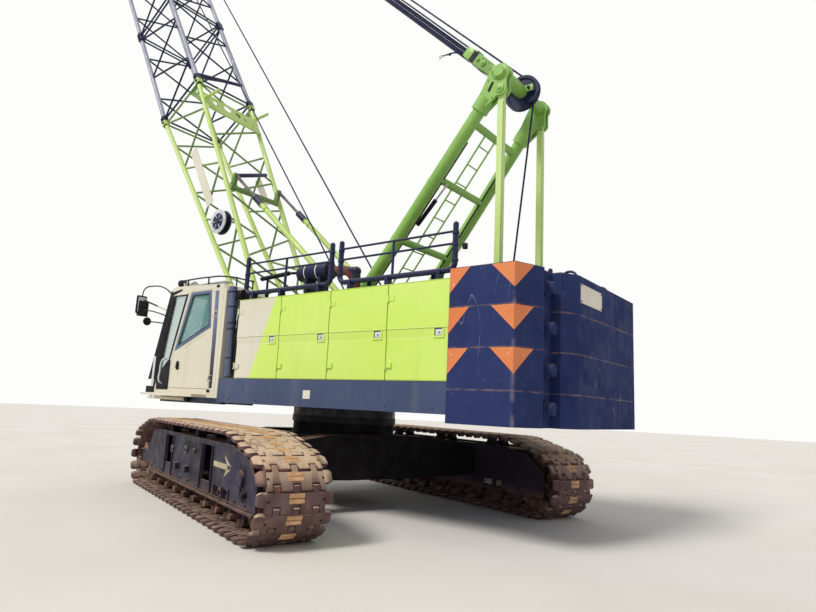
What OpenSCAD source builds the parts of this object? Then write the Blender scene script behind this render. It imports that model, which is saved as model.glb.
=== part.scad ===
/* [Undercarriage] */
// Angle of the undercarriage under the upperworks, seen from above
track_turn = -17.5; // [-180:0.5:180]
// Distance between the centre lines of the two tracks
track_gauge = 4040; // [3900:20:4200]
// Width of a track shoe
shoe_w = 800; // [700:20:860]
// Distance from the idler axle to the sprocket axle
wheel_base = 4590; // [4500:10:4700]
// Height of a track's upper run over its shoes
track_h = 1070; // [1040:5:1100]
// Radius of a track's ends over its shoes
end_r = 457; // [445:1:470]
// Length of the level part of a track's upper run
top_run = 3180; // [3000:20:3300]
// Thickness of a track shoe
shoe_t = 60; // [44:2:66]
// Number of shoes in a track
shoe_count = 60; // [58:1:62]
// Height of the guide lug inside each shoe
lug_h = 46; // [30:2:50]
// Radius of the lower rollers
roller_r = 118; // [108:2:122]
// Number of lower rollers on a side
roller_count = 9; // [7:1:10]
// Radius of the upper rollers
top_roller_r = 66; // [56:2:76]
// Width of the side frame over its plates
side_frame_w = 600; // [560:10:640]
// Thickness of the side frame's plates
side_plate_t = 25; // [16:1:30]
// Height of the top of the side frame
side_frame_top = 905; // [870:5:915]
// Distance of each cross beam from the slew axis
beam_x = 910; // [860:10:960]
// Width of a cross beam
beam_w = 330; // [260:10:380]
// Outer radius of the slewing ring
ring_r = 780; // [720:10:820]

/* [Upperworks] */
// Height of the underside of the deck
deck_z = 1340; // [1300:5:1360]
// Height of the deck's side beams
deck_h = 350; // [300:10:380]
// Half of the deck's width
deck_half_w = 1450; // [1430:5:1480]
// Front end of the deck
deck_front = 1220; // [1200:10:1240]
// Rear end of the deck
deck_rear = -2810; // [-2850:10:-2790]
// Height of the top of the side doors
house_top = 2840; // [2770:10:2910]
// Thickness of the side doors
door_t = 45; // [30:1:50]
// Clear gap between the side doors
seam_gap = 16; // [16:1:24]
// Clear gap round the cab door
door_gap = 6; // [5:1:10]
// Height of the rails' end posts over their tread
rail_h = 535; // [480:5:560]

/* [Cab] */
// Rear face of the cab
cab_rear = 1230; // [1226:2:1260]
// Height of the cab floor's underside
cab_z = 1400; // [1380:10:1440]
// Height of the cab over its floor
cab_h = 1780; // [1740:10:1820]
// Thickness of the cab walls and the cab door
cab_wall = 46; // [30:2:56]
// Inner side of the cab
cab_inner_y = 705; // [700:5:740]

/* [Counterweight] */
// Height of the underside of the counterweight
weight_z = 1250; // [1220:5:1300]
// Thickness of the bottom slab
tray_t = 360; // [320:10:400]
// Thickness of each upper slab
slab_t = 443; // [400:1:460]
// Rear face of the counterweight
weight_rear = -3930; // [-4000:10:-3900]

/* [Boom] */
// Angle of the boom above the horizontal
boom_angle = 58.7; // [57:0.1:61]
// Length of the base section
base_len = 6600; // [6400:100:6800]
// Length of the short insert
insert_len = 2900; // [2700:100:3100]
// Length of the long insert
long_len = 6000; // [5800:100:6200]
// Length of the top section to its sheave shaft
top_len = 6500; // [6300:100:6700]
// Width between chord centres of the parallel sections
boom_w = 1314; // [1260:2:1340]
// Depth between chord centres of the parallel sections
boom_d = 1234; // [1180:2:1260]
// Radius of the chords
chord_r = 45; // [38:1:50]
// Radius of the lacing bars
lace_r = 20; // [14:1:24]
// Radius of the boom foot pin
foot_pin_r = 45; // [35:1:50]
// Radius of the boom head sheaves
head_sheave_r = 230; // [200:5:240]

/* [Gantry] */
// Radius of the gantry leg tubes
leg_r = 85; // [70:1:90]
// Height of the tension links' top pins
link_top_z = 5461; // [5370:1:5520]
// Radius of the gantry head tube
head_tube_r = 85; // [70:1:95]
// Radius of the gantry guide sheave
guide_sheave_r = 250; // [220:5:260]
// Radius of the backstop tubes
backstop_r = 48; // [40:1:50]

/* [Winches] */
// Height of the winch shafts
winch_z = 2220; // [2190:5:2250]
// Radius of the winch drums
drum_r = 200; // [170:5:220]
// Radius of the drum flanges
flange_r = 300; // [270:5:310]

/* [Hidden] */
sides = [-1, 1];
seat = 0.3;
run = 0.05;
bar_fn = 8;
chord_fn = 12;
chord_spin = 8;

lime = [0.62, 0.86, 0.16];
green = [0.38, 0.62, 0.15];
beige = [0.68, 0.66, 0.60];
slate = [0.16, 0.19, 0.25];
navy = [0.10, 0.12, 0.20];
steel = [0.45, 0.45, 0.46];
earth = [0.42, 0.33, 0.25];
frame_grey = [0.24, 0.22, 0.27];
glass = [0.55, 0.72, 0.72, 0.4];

// A bar between two points, with its ends square to its axis and its flats turned by spin
module bar(a, b, r, sides_n = bar_fn, spin = 0) {
    run_v = b - a;
    length = norm(run_v);
    translate(a)
        rotate([0, acos(run_v[2] / length), atan2(run_v[1], run_v[0])])
            rotate([0, 0, spin])
                cylinder(r = r, h = length, $fn = sides_n);
}

// A round bar along Y, centred on y
module cross_bar(x, y, z, r, length, sides_n = 48) {
    translate([x, y, z])
        rotate([90, 0, 0])
            cylinder(r = r, h = length, center = true, $fn = sides_n);
}

// A flat profile drawn in X and Z, from y_low to y_high
module side_slab(y_low, y_high) {
    translate([0, y_high, 0])
        rotate([90, 0, 0])
            linear_extrude(y_high - y_low)
                children();
}

module box(low, high) {
    translate(low)
        cube(high - low);
}

// Point where the lines through a-b and c-d cross
function crossing(a, b, c, d) =
    let (p = b - a, q = d - c, s = c - a, t = (s[0] * q[1] - s[1] * q[0]) / (p[0] * q[1] - p[1] * q[0]))
    a + t * p;

// A closed outline moved inwards by t, for points listed anticlockwise
function inset(points, t) =
    let (n = len(points),
         edges = [for (i = [0:n - 1])
             let (a = points[i], b = points[(i + 1) % n], u = (b - a) / norm(b - a), m = [-u[1], u[0]] * t)
             [a + m, b + m]])
    [for (i = [0:n - 1])
        let (e = edges[(i + n - 1) % n], f = edges[i])
        crossing(e[0], e[1], f[0], f[1])];

// Track loop: a level ground run, a round end, a slope up to the level upper run, and the same on the way back
axle_z = end_r;
pitch_r = end_r - shoe_t / 2;
inner_r = end_r - shoe_t;
bend_r = 1200;
top_rise = track_h - shoe_t / 2 - axle_z;
top_half = top_run / 2;

// The upper run ends at top_half and bends down to a slope that meets the round end
bend_in = wheel_base / 2 - top_half;
bend_down = bend_r - top_rise;
slope_a = atan2(bend_in, bend_down) - acos((bend_r - pitch_r) / norm([bend_in, bend_down]));
slope_len = sqrt(pow(bend_in, 2) + pow(bend_down, 2) - pow(bend_r - pitch_r, 2));
end_len = pitch_r * (180 - slope_a) * PI / 180;
bend_len = bend_r * slope_a * PI / 180;

// Each piece of the loop: its length and the angle it turns through
loop_pieces = [
    [wheel_base, 0], [end_len, 180 - slope_a], [slope_len, 0], [bend_len, slope_a], [top_run, 0],
    [bend_len, slope_a], [slope_len, 0], [end_len, 180 - slope_a]
];
loop_len = wheel_base + top_run + 2 * (end_len + slope_len + bend_len);
shoe_pitch = loop_len / shoe_count;
groove_w = 8;
groove_d = 26;
shoe_bevel = 18;
shoe_crown = 6;
lug_w = 110;
lug_len = 80;
tooth_count = round(2 * PI * pitch_r / shoe_pitch);

// Place and heading at a distance d into a piece that starts at p with heading t
function piece_at(p, t, piece, d) =
    let (a = piece[1] * d / piece[0], r = piece[1] == 0 ? 0 : piece[0] * 180 / (PI * piece[1]))
    piece[1] == 0 ? [p[0] + d * cos(t), p[1] + d * sin(t), t]
    : [p[0] + r * (sin(t + a) - sin(t)), p[1] + r * (cos(t) - cos(t + a)), t + a];

// Place and heading of the loop at a distance s along it
function loop_at(s, k = 0, p = [-wheel_base / 2, -pitch_r], t = 0) =
    s <= loop_pieces[k][0] || k == len(loop_pieces) - 1 ? piece_at(p, t, loop_pieces[k], s)
    : let (q = piece_at(p, t, loop_pieces[k], loop_pieces[k][0]))
      loop_at(s - loop_pieces[k][0], k + 1, [q[0], q[1]], q[2]);

// A point of shoe i: u along the loop, v out from its middle line
function shoe_point(i, u, v) =
    let (f = loop_at((i + 0.5) * shoe_pitch), t = f[2])
    [f[0] + u * cos(t) + v * sin(t), f[1] + u * sin(t) - v * cos(t)];

module track_loop() {
    half = shoe_pitch / 2;
    out = shoe_t / 2;
    outer = [for (i = [0:shoe_count - 1])
        for (p = [[groove_w - half, out - groove_d], [groove_w + shoe_bevel - half, out - shoe_crown], [0, out],
                  [half - groove_w - shoe_bevel, out - shoe_crown], [half - groove_w, out - groove_d]])
            shoe_point(i, p[0], p[1])];
    inner = [for (i = [0:shoe_count - 1])
        for (u = [groove_w - half, half - groove_w])
            shoe_point(i, u, -out)];
    translate([0, 0, axle_z]) {
        difference() {
            side_slab(-shoe_w / 2, shoe_w / 2)
                polygon(outer);
            side_slab(-shoe_w, shoe_w)
                polygon(inner);
        }
        for (i = [0:shoe_count - 1]) {
            f = loop_at((i + 0.5) * shoe_pitch);
            translate([f[0], 0, f[1]])
                rotate([0, -f[2], 0])
                    translate([-lug_len / 2, -lug_w / 2, out - 5])
                        cube([lug_len, lug_w, lug_h + 5]);
        }
    }
}

module on_tracks(side) {
    rotate([0, 0, track_turn])
        translate([0, side * track_gauge / 2, 0])
            children();
}

module track_left() {
    color(earth)
        on_tracks(1)
            track_loop();
}

module track_right() {
    color(earth)
        on_tracks(-1)
            track_loop();
}

// Wheels inside the loop
rim_in = lug_w / 2 + 12;
sprocket_rim_w = 80;
idler_rim_w = 110;
hole_ring_r = 212;
hole_r = 48;
axle_r = 70;
hub_half = side_frame_w / 2 - side_plate_t - 4;

function tooth_ring(r_tip, r_root, n) =
    [for (i = [0:n - 1])
        for (k = [[-0.32, r_root], [-0.17, r_tip], [0.17, r_tip], [0.32, r_root]])
            let (a = (i + k[0]) * 360 / n - 90)
            [k[1] * cos(a), k[1] * sin(a)]];

module sprocket() {
    translate([wheel_base / 2, 0, axle_z]) {
        difference() {
            union() {
                for (s = sides)
                    side_slab(s < 0 ? -rim_in - sprocket_rim_w : rim_in,
                              s < 0 ? -rim_in : rim_in + sprocket_rim_w)
                        polygon(tooth_ring(inner_r - seat, inner_r - 62, tooth_count));
                cross_bar(0, 0, 0, inner_r - 120, 2 * rim_in + 10, 48);
                cross_bar(0, 0, 0, 190, 2 * hub_half, 48);
            }
            cross_bar(0, 0, 0, axle_r + seat, 2 * shoe_w);
        }
    }
}

module idler() {
    translate([-wheel_base / 2, 0, axle_z])
        difference() {
            union() {
                for (s = sides)
                    cross_bar(0, s * (rim_in + idler_rim_w / 2), 0, inner_r - seat, idler_rim_w, 72);
                cross_bar(0, 0, 0, inner_r - 90, 2 * rim_in + 10, 48);
                cross_bar(0, 0, 0, 120, 2 * hub_half, 48);
            }
            cross_bar(0, 0, 0, axle_r + seat, 2 * shoe_w);
            for (i = [0:5])
                rotate([0, i * 60, 0])
                    cross_bar(hole_ring_r, 0, 0, hole_r, 2 * shoe_w, 24);
        }
}

module sprockets() {
    color(earth)
        for (side = sides)
            on_tracks(side)
                sprocket();
}

module idlers() {
    color(earth)
        for (side = sides)
            on_tracks(side)
                idler();
}

roller_axle_r = 32;
roller_z = shoe_t + roller_r + seat;
roller_span = wheel_base - 2 * inner_r - 300;
top_roller_z = track_h - shoe_t - top_roller_r - seat;
top_roller_x = [-1250, 0, 1250];
top_axle_r = 12;
roller_rim_w = 95;

module roller(x, z, r, neck_r, bore_r) {
    difference() {
        union() {
            for (s = sides)
                cross_bar(x, s * (rim_in + roller_rim_w / 2), z, r, roller_rim_w, 36);
            cross_bar(x, 0, z, neck_r, 2 * rim_in + 10, 36);
        }
        cross_bar(x, 0, z, bore_r + seat, shoe_w, 36);
    }
}

function roller_x(i) = -roller_span / 2 + i * roller_span / (roller_count - 1);

module rollers() {
    color(frame_grey)
        for (side = sides)
            on_tracks(side) {
                for (i = [0:roller_count - 1])
                    roller(roller_x(i), roller_z, roller_r, roller_r - lug_h - 12, roller_axle_r);
                for (x = top_roller_x)
                    roller(x, top_roller_z, top_roller_r, top_axle_r + 6, top_axle_r);
            }
}

// Side frames: the plates carry the axles, and the box between them clears the wheels
frame_low = 275;
box_low = roller_z + roller_r + 16;
box_end = wheel_base / 2 - inner_r - 40;
bracket_y = rim_in + roller_rim_w + 16;
flange_out = 26;
cleat_x = [300, -150];
cleat_half = 55;
cleat_z = 455;
// Openings of the plates: x from, x to, z from, z to
plate_slots = [
    [650, 950, 480, 860],
    [-1050, -720, 440, 850],
    [-1460, -1270, 305, 430],
    [-1670, -1530, 305, 430]
];
plate_front = 1930;
yoke_half = 95;

module plate_outline() {
    half = wheel_base / 2;
    polygon([
        [-half - 170, frame_low + 60], [-half - 130, frame_low],
        [plate_front - 60, frame_low], [plate_front, frame_low + 60], [plate_front, side_frame_top - 200],
        [plate_front - 120, side_frame_top - 40], [plate_front - 420, side_frame_top],
        [-half + 640, side_frame_top], [-half + 140, side_frame_top - 90], [-half - 170, side_frame_top - 330]
    ]);
}

// The yoke reaches from the plate to the sprocket's axle
module yoke_outline() {
    translate([wheel_base / 2, axle_z])
        circle(r = yoke_half, $fn = 48);
    translate([plate_front - 60, axle_z - yoke_half])
        square([wheel_base / 2 - plate_front + 60, 2 * yoke_half]);
}

module side_plate(y_low) {
    difference() {
        side_slab(y_low, y_low + side_plate_t)
            plate_outline();
        for (p = plate_slots)
            box([p[0], y_low - 5, p[2]], [p[1], y_low + side_plate_t + 5, p[3]]);
        cross_bar(-1860, y_low, 610, 22, 100, 24);
        cross_bar(-1700, y_low, 520, 18, 100, 24);
    }
    side_slab(y_low + 3, y_low + side_plate_t - 3)
        yoke_outline();
}

module track_frame(outward) {
    half_w = side_frame_w / 2;
    for (s = sides)
        side_plate(s > 0 ? half_w - side_plate_t : -half_w);
    box([-box_end, -half_w + side_plate_t, side_frame_top - 55],
        [box_end, half_w - side_plate_t, side_frame_top - 30]);
    box([-box_end, -half_w + side_plate_t, box_low], [box_end, half_w - side_plate_t, box_low + 25]);
    for (x = [-box_end, box_end - 25])
        box([x, -half_w + side_plate_t, box_low], [x + 25, half_w - side_plate_t, side_frame_top - 30]);
    for (i = [0:roller_count - 1])
        cross_bar(roller_x(i), 0, roller_z, roller_axle_r, side_frame_w - side_plate_t, 24);
    for (s = sides)
        cross_bar(s * wheel_base / 2, 0, axle_z, axle_r, side_frame_w - side_plate_t, 36);
    // Upper rollers' axles on their brackets
    for (x = top_roller_x) {
        cross_bar(x, 0, top_roller_z, top_axle_r, 2 * bracket_y + 20, 24);
        for (s = sides)
            side_slab(s * bracket_y - 10, s * bracket_y + 10)
                polygon([
                    [x - 90, side_frame_top - 31], [x + 90, side_frame_top - 31],
                    [x + 30, top_roller_z + 28], [x - 30, top_roller_z + 28]
                ]);
    }
    // Lower flange, round cap and the two cleats of the outer plate
    flange_mid = outward * (half_w + flange_out / 2);
    box([-wheel_base / 2 - 150, flange_mid - flange_out / 2 - 2, frame_low + 4],
        [plate_front - 80, flange_mid + flange_out / 2 + 2, frame_low + 26]);
    cross_bar(-wheel_base / 2 + 240, outward * (half_w + 12), axle_z + 140, 90, 60, 36);
    for (x = cleat_x)
        box([x - cleat_half, outward > 0 ? half_w - 5 : -half_w - 55, cleat_z],
            [x + cleat_half, outward > 0 ? half_w + 55 : -half_w + 5, cleat_z + 80]);
}

module track_frames() {
    color(frame_grey)
        for (side = sides)
            on_tracks(side)
                track_frame(side);
}

// Car body and slewing ring
ring_z = 1130;
beam_low = 410;
beam_top = 990;
ring_t = 90;
body_half_w = 820;
body_reach = track_gauge / 2 - side_frame_w / 2;

module cross_beam(x) {
    translate([x + beam_w / 2, 0, 0])
        rotate([0, 0, 90])
            side_slab(0, beam_w)
                polygon([
                    [-body_reach, beam_low + 40], [-500, beam_low],
                    [500, beam_low], [body_reach, beam_low + 40],
                    [body_reach, beam_top - 150], [800, beam_top],
                    [-800, beam_top], [-body_reach, beam_top - 150]
                ]);
}

module car_body() {
    color(frame_grey)
        rotate([0, 0, track_turn]) {
            for (s = sides)
                cross_beam(s * beam_x);
            box([-beam_x, -body_half_w, beam_low + 50], [beam_x, body_half_w, beam_top - 30]);
            translate([0, 0, beam_low + 50])
                cylinder(r = ring_r - 20, h = ring_z - beam_low - 50 - seat, $fn = 72);
        }
}

module slewing_ring() {
    color(steel)
        translate([0, 0, ring_z])
            difference() {
                cylinder(r = ring_r, h = ring_t, $fn = 96);
                translate([0, 0, -1])
                    cylinder(r = ring_r - 170, h = ring_t + 2, $fn = 96);
            }
}

// Revolving frame
main_y = 630;
main_t = 30;
foot_x = 1016;
foot_z = 1793;
boom_foot_half = 582;
foot_lug_w = 74;
leg_foot_x = 108;
leg_foot_z = 1770;
leg_foot_y = 694;
leg_lug_w = 50;
leg_pin_r = 40;
stop_x = -1300;
stop_z = 2070;
stop_y = 510;
stop_lug_w = 40;
stop_pin_r = 24;
ear_gap = 6;
lane_half = 800;
link_x = -2914;
link_low_z = 1970;
link_w = 50;
link_y = 575;
link_pin_r = 32;
floor_t = 25;
floor_z = deck_z + floor_t;
house_z = deck_z + deck_h;
tail_x = link_x - 130;

// An ear plate standing on the floor and rounded over its pin
module ear(x, z, y_low, t, base_half, r) {
    side_slab(y_low, y_low + t)
        union() {
            polygon([[x - base_half, floor_z - 1], [x + base_half, floor_z - 1], [x + r, z], [x - r, z]]);
            translate([x, z])
                circle(r = r, $fn = 48);
        }
}

module main_plate(y_low) {
    side_slab(y_low, y_low + main_t)
        difference() {
            union() {
                polygon([
                    [deck_front - 20, floor_z - 1], [deck_front - 20, house_z - 60], [foot_x + 105, foot_z],
                    [foot_x - 105, foot_z], [leg_foot_x + 330, house_z], [leg_foot_x + 90, leg_foot_z],
                    [leg_foot_x - 90, leg_foot_z], [leg_foot_x - 420, house_z - 20], [-2400, house_z - 20],
                    [link_x + 120, link_low_z], [link_x - 90, link_low_z],
                    [tail_x, house_z], [tail_x, floor_z - 1]
                ]);
                for (p = [[foot_x, foot_z, 105], [leg_foot_x, leg_foot_z, 90], [link_x + 10, link_low_z, 95]])
                    translate([p[0], p[1]])
                        circle(r = p[2], $fn = 48);
            }
            for (x = [-400, -1900])
                translate([x, floor_z + 130])
                    circle(r = 75, $fn = 36);
        }
}

module revolving_frame() {
    color(slate) {
        difference() {
            union() {
                box([tail_x, -main_y - main_t, deck_z], [deck_rear + 1, main_y + main_t, floor_z]);
                box([deck_rear, -deck_half_w, deck_z], [deck_front, deck_half_w, floor_z]);
                translate([0, 0, ring_z + ring_t + seat])
                    cylinder(r = ring_r - 10, h = deck_z - ring_z - ring_t - seat + 5, $fn = 96);
            }
            translate([0, 0, ring_z])
                cylinder(r = 260, h = deck_h, $fn = 48);
        }
        // Side beams with their top and bottom flanges, and the cross members
        for (s = sides) {
            low = s > 0 ? deck_half_w - 20 : -deck_half_w;
            box([deck_rear, low, floor_z - 1], [deck_front, low + 20, house_z]);
            top = s > 0 ? deck_half_w - 120 : -deck_half_w;
            box([deck_rear, top, house_z - 20], [deck_front, top + 120, house_z]);
        }
        for (x = [deck_rear, deck_rear / 2, 0, deck_front - 24])
            for (s = sides) {
                in = main_y + main_t - 1;
                box([x, s > 0 ? in : -deck_half_w + 1, floor_z - 1],
                    [x + 24, s > 0 ? deck_half_w - 1 : -in, house_z - 10]);
            }
        box([tail_x, -main_y - 1, floor_z - 1], [tail_x + 24, main_y + 1, house_z - 40]);
        for (s = sides)
            main_plate(s > 0 ? main_y : -main_y - main_t);
        // Bearers under the cab
        for (y = [780, 1290])
            box([deck_front - 1, y, cab_z - 90], [2850, y + 80, cab_z - seat]);
        // Boom foot ears and pins
        for (s = sides) {
            in = boom_foot_half - foot_lug_w / 2 - ear_gap - main_t;
            ear(foot_x, foot_z, s > 0 ? in : -in - main_t, main_t, 170, 105);
            cross_bar(foot_x, s * (in + main_y + main_t) / 2, foot_z,
                      foot_pin_r, main_y + main_t + 24 - in, 48);
        }
        // Gantry leg ears and pins
        for (s = sides) {
            out = leg_foot_y + leg_lug_w / 2 + ear_gap;
            ear(leg_foot_x, leg_foot_z, s > 0 ? out : -out - main_t, main_t, 160, 80);
            cross_bar(leg_foot_x, s * (main_y + out + main_t) / 2, leg_foot_z,
                      leg_pin_r, out + main_t - main_y + 16, 36);
        }
        // Backstop ears and pins
        for (s = sides) {
            for (d = [-1, 1]) {
                mid = s * stop_y + d * (stop_lug_w / 2 + ear_gap + 10);
                ear(stop_x, stop_z, mid - 10, 20, 110, 50);
            }
            cross_bar(stop_x, s * stop_y, stop_z, stop_pin_r, stop_lug_w + 2 * ear_gap + 52, 36);
        }
        // Tension link pins between the tail plates and their inner ears
        for (s = sides) {
            in = link_y - link_w / 2 - ear_gap - 25;
            ear(link_x + 10, link_low_z, s > 0 ? in : -in - 25, 25, 110, 80);
            cross_bar(link_x, s * (in + main_y + main_t) / 2, link_low_z,
                      link_pin_r, main_y + main_t + 16 - in, 36);
        }
    }
}

// Upright hinges: a pin between two ears, and the knuckle that turns on it
hinge_pin_r = 6;
knuckle_r = 9;
hinge_out = 14;
knuckle_h = 60;
hinge_y = deck_half_w + hinge_out;

// The ears stand at x and reach back by back to the pin
module hinge_ears(x, y_root, z, back) {
    for (d = sides) {
        z_mid = z + d * (knuckle_h / 2 + 8);
        box([x - 3, y_root, z_mid - 6], [x + 1, hinge_y + 6, z_mid + 6]);
        box([x - back - 6, hinge_y - 6, z_mid - 6], [x + 1, hinge_y + 6, z_mid + 6]);
    }
    translate([x - back, hinge_y, z - knuckle_h / 2 - 14])
        cylinder(r = hinge_pin_r, h = knuckle_h + 28, $fn = 24);
}

// The strap runs back from the knuckle for a door on that side: dir -1 rearwards, 1 forwards
module knuckle(x, z, dir) {
    difference() {
        union() {
            translate([x, hinge_y, z - knuckle_h / 2])
                cylinder(r = knuckle_r, h = knuckle_h, $fn = 36);
            box([dir < 0 ? x - 80 : x, deck_half_w - 20, z - knuckle_h / 2],
                [dir < 0 ? x : x + 80, deck_half_w + 7, z + knuckle_h / 2]);
        }
        translate([x, hinge_y, z - knuckle_h])
            cylinder(r = hinge_pin_r + run, h = 2 * knuckle_h, $fn = 36);
    }
}

// Side houses: panel seams from front to rear
left_seams = [890, -28, -973, -1928, deck_rear];
right_seams = [890, -340, -1570, deck_rear];
house_front = 930;
post_half = 30;
house_in_t = 30;
house_floor = 40;
roof_t = 45;
roof_lip = 6;
hinge_back = 16;
shell_y = deck_half_w - door_t - 8;
hinge_heights = [house_z + 180, house_top - 180];
vents = [-1905, -105];
vent_size = [420, 260];

// A side house on the left, opened between its posts; seams are the posts' places
module house(seams) {
    low = house_z + seat;
    top = house_top;
    difference() {
        union() {
            box([deck_rear, lane_half, low], [house_front, shell_y, low + house_floor]);
            box([deck_rear, lane_half, low], [house_front, lane_half + house_in_t, top]);
            box([deck_rear, lane_half, low], [deck_rear + house_in_t, shell_y, top]);
            box([house_front - house_in_t, lane_half, low], [house_front, shell_y, top]);
            box([deck_rear, lane_half, top - roof_t], [house_front, shell_y, top]);
            box([deck_rear, shell_y - 1, top - roof_lip], [house_front, deck_half_w - 12, top]);
            for (x = seams)
                box([max(x - post_half, deck_rear), shell_y - 60, low],
                    [min(x + post_half, house_front), shell_y, top]);
        }
        for (x = vents)
            translate([x, lane_half - 5, low + 420])
                cube([vent_size[0], house_in_t + 10, vent_size[1]]);
    }
    for (k = [0:len(seams) - 2])
        for (z = hinge_heights)
            hinge_ears(seams[k], shell_y - 2, z, hinge_back);
}

module mirrored_y() {
    mirror([0, 1, 0])
        children();
}

module house_left() {
    color(lime)
        house(left_seams);
}

module house_right() {
    color(lime)
        mirrored_y()
            house(right_seams);
}

// Side doors: the skin steps in below a line that rises near the rear edge, and slopes in down to a crease
step_z = house_z + 600;
step_rise = 36;
step_in = 12;
crease_z = house_z + 490;
step_share = 0.4;
skin_t = 22;
latch = [150, 125];
latch_from_rear = 56;

// A profile drawn in Y and Z, from x_low to x_high
module length_slab(x_low, x_high) {
    translate([x_low, 0, 0])
        rotate([90, 0, 90])
            linear_extrude(x_high - x_low)
                children();
}

// Side door k between its two seams, with its latch plate
module side_door(seams, k) {
    x_front = seams[k] - seam_gap / 2;
    x_rear = seams[k + 1] + seam_gap / 2;
    x_step = x_rear + step_share * (x_front - x_rear);
    low = house_z + 6;
    top = house_top - roof_lip - 8;
    face = deck_half_w;
    difference() {
        box([x_rear, face - door_t, low], [x_front, face, top]);
        box([x_rear + 40, face - door_t - 1, low + 40], [x_front - 40, face - skin_t, top - 40]);
        for (part = [[x_rear - 1, x_step, step_rise], [x_step, x_front + 1, 0]])
            length_slab(part[0], part[1])
                polygon([
                    [face - step_in, low - 1], [face + 1, low - 1], [face + 1, step_z + part[2]],
                    [face, step_z + part[2]], [face - step_in, crease_z]
                ]);
    }
    latch_x = x_rear + latch_from_rear;
    latch_z = crease_z - 3;
    difference() {
        box([latch_x, face - step_in - 1, latch_z], [latch_x + latch[0], face + 2, latch_z + latch[1]]);
        box([latch_x + 22, face - 4, latch_z + 20],
            [latch_x + latch[0] - 22, face + 3, latch_z + latch[1] - 20]);
    }
    for (z = hinge_heights)
        knuckle(seams[k] - hinge_back, z, -1);
}

module left_door(k) {
    color(k == 0 ? beige : lime)
        side_door(left_seams, k);
}

module right_door(k) {
    color(k == 0 ? beige : lime)
        mirrored_y()
            side_door(right_seams, k);
}

module engine_block() {
    color(steel)
        box([-2450, -1330, house_z + house_floor + 2 * seat], [-950, -880, house_z + 880]);
}

// Handrails on the roofs: places of the front post, the thin post and the rear post
rail_runs = [[962, 100, -798], [-968, -1850, -2758]];
rail_r = 14;
post_r = 34;
rail_turn = 90;
rail_y = 1300;
tread_top = house_top + 160;
tread_half_w = 45;
rail_heights = [275, 420];

// A quarter bend from the tube's end at x up into the post that stands on the far side of the bend: dir 1 or -1
module quarter_bend(x, y, z, dir) {
    translate([x, y, z + rail_turn])
        rotate([90, 0, 0])
            rotate([0, 0, dir > 0 ? 270 : 180])
                rotate_extrude(angle = 90, $fn = 48)
                    translate([rail_turn, 0])
                        circle(r = post_r, $fn = 24);
}

// One length of rail: a thick tube bent up into its two end posts, with thin rails between them
module rail_length(run_x, y) {
    base_z = tread_top - post_r;
    top_z = tread_top + rail_h - post_r;
    tube = [run_x[2] + rail_turn, run_x[0] - rail_turn];
    quarter_bend(tube[1], y, base_z, 1);
    quarter_bend(tube[0], y, base_z, -1);
    bar([tube[0], y, base_z], [tube[1], y, base_z], post_r, 24);
    for (x = [run_x[0], run_x[2]]) {
        bar([x, y, base_z + rail_turn], [x, y, top_z], post_r, 24);
        translate([x, y, top_z])
            sphere(r = post_r + 0.5, $fn = 24);
    }
    bar([run_x[1], y, base_z], [run_x[1], y, tread_top + rail_heights[1] + 8], rail_r + 3, 16);
    for (h = rail_heights)
        bar([run_x[2], y, tread_top + h], [run_x[0], y, tread_top + h], rail_r, 16);
    // Tread beside the tube, on short feet
    in = y > 0 ? -tread_half_w : tread_half_w;
    box([tube[0], y + in - tread_half_w, tread_top - 30], [tube[1], y + in + tread_half_w, tread_top - 18]);
    for (x = [tube[0] + 110, run_x[1] + 60, tube[1] - 110])
        box([x - 25, y - tread_half_w, house_top + seat], [x + 25, y + tread_half_w, tread_top - 29]);
}

module handrails() {
    color(navy)
        for (s = sides)
            for (run_x = rail_runs)
                rail_length(run_x, s * rail_y);
}

// Air cleaner canister on its saddle and the exhaust bend behind it, on the left roof
canister = [-170, 950, 3260];
canister_len = 540;
canister_r = 130;
exhaust_r = 62;

module exhaust_unit() {
    color(slate) {
        bar(canister - [canister_len / 2, 0, 0], canister + [canister_len / 2, 0, 0], canister_r, 48);
        for (x = [-130, 130])
            box([canister[0] + x - 25, canister[1] - 95, house_top + seat],
                [canister[0] + x + 25, canister[1] + 95, canister[2] - 60]);
    }
    color(earth) {
        foot = [canister[0] - 760, canister[1], house_top + seat];
        knee = [foot[0], foot[1], canister[2] - 60];
        bar(foot, knee, exhaust_r, 36);
        translate(knee)
            sphere(r = exhaust_r + 6, $fn = 36);
        bar(knee, knee + [330, 0, 40], exhaust_r, 36);
    }
}

// Cab
cab_front_low = 3010;
cab_out_y = deck_half_w;
cab_top = cab_z + cab_h;
cab_hinge_x = 1473;
cab_hinge_z = [cab_z + 290, cab_z + 1270];
nose_z = cab_z + 220;
brow = [2700, cab_top - 40];
cab_outline = [
    [cab_rear, cab_z], [2900, cab_z], [cab_front_low, nose_z], brow, [2640, cab_top], [1330, cab_top - 50],
    [cab_rear, cab_top - 150]
];
door_outline = [
    [1476, cab_z + 132], [2524, cab_z + 132], [2484, cab_z + 732], [2170, cab_top - 125], [1600, cab_top - 125],
    [1476, cab_top - 205]
];
door_window = [[1590, cab_z + 1091], [2384, cab_z + 788], [2096, cab_top - 180], [1655, cab_top - 180]];
quarter_window = [[2560, cab_z + 570], [2860, cab_z + 310], [2640, cab_top - 150], [2250, cab_top - 150]];
side_window = [[1480, cab_z + 720], [2760, cab_z + 720], [2620, cab_top - 150], [1480, cab_top - 150]];
rear_window = [cab_z + 570, cab_top - 230];
roof_light = [1700, 2400];
light_z = cab_top - 70;
window_in = 120;
screen_in = 80;
screen_z = [cab_z + 300, cab_top - 100];
screen_low = screen_z[0] + seat;
screen_high = screen_z[1] - seat;

function screen_x(z) = cab_front_low + (z - nose_z) * (brow[0] - cab_front_low) / (brow[1] - nose_z);

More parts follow.
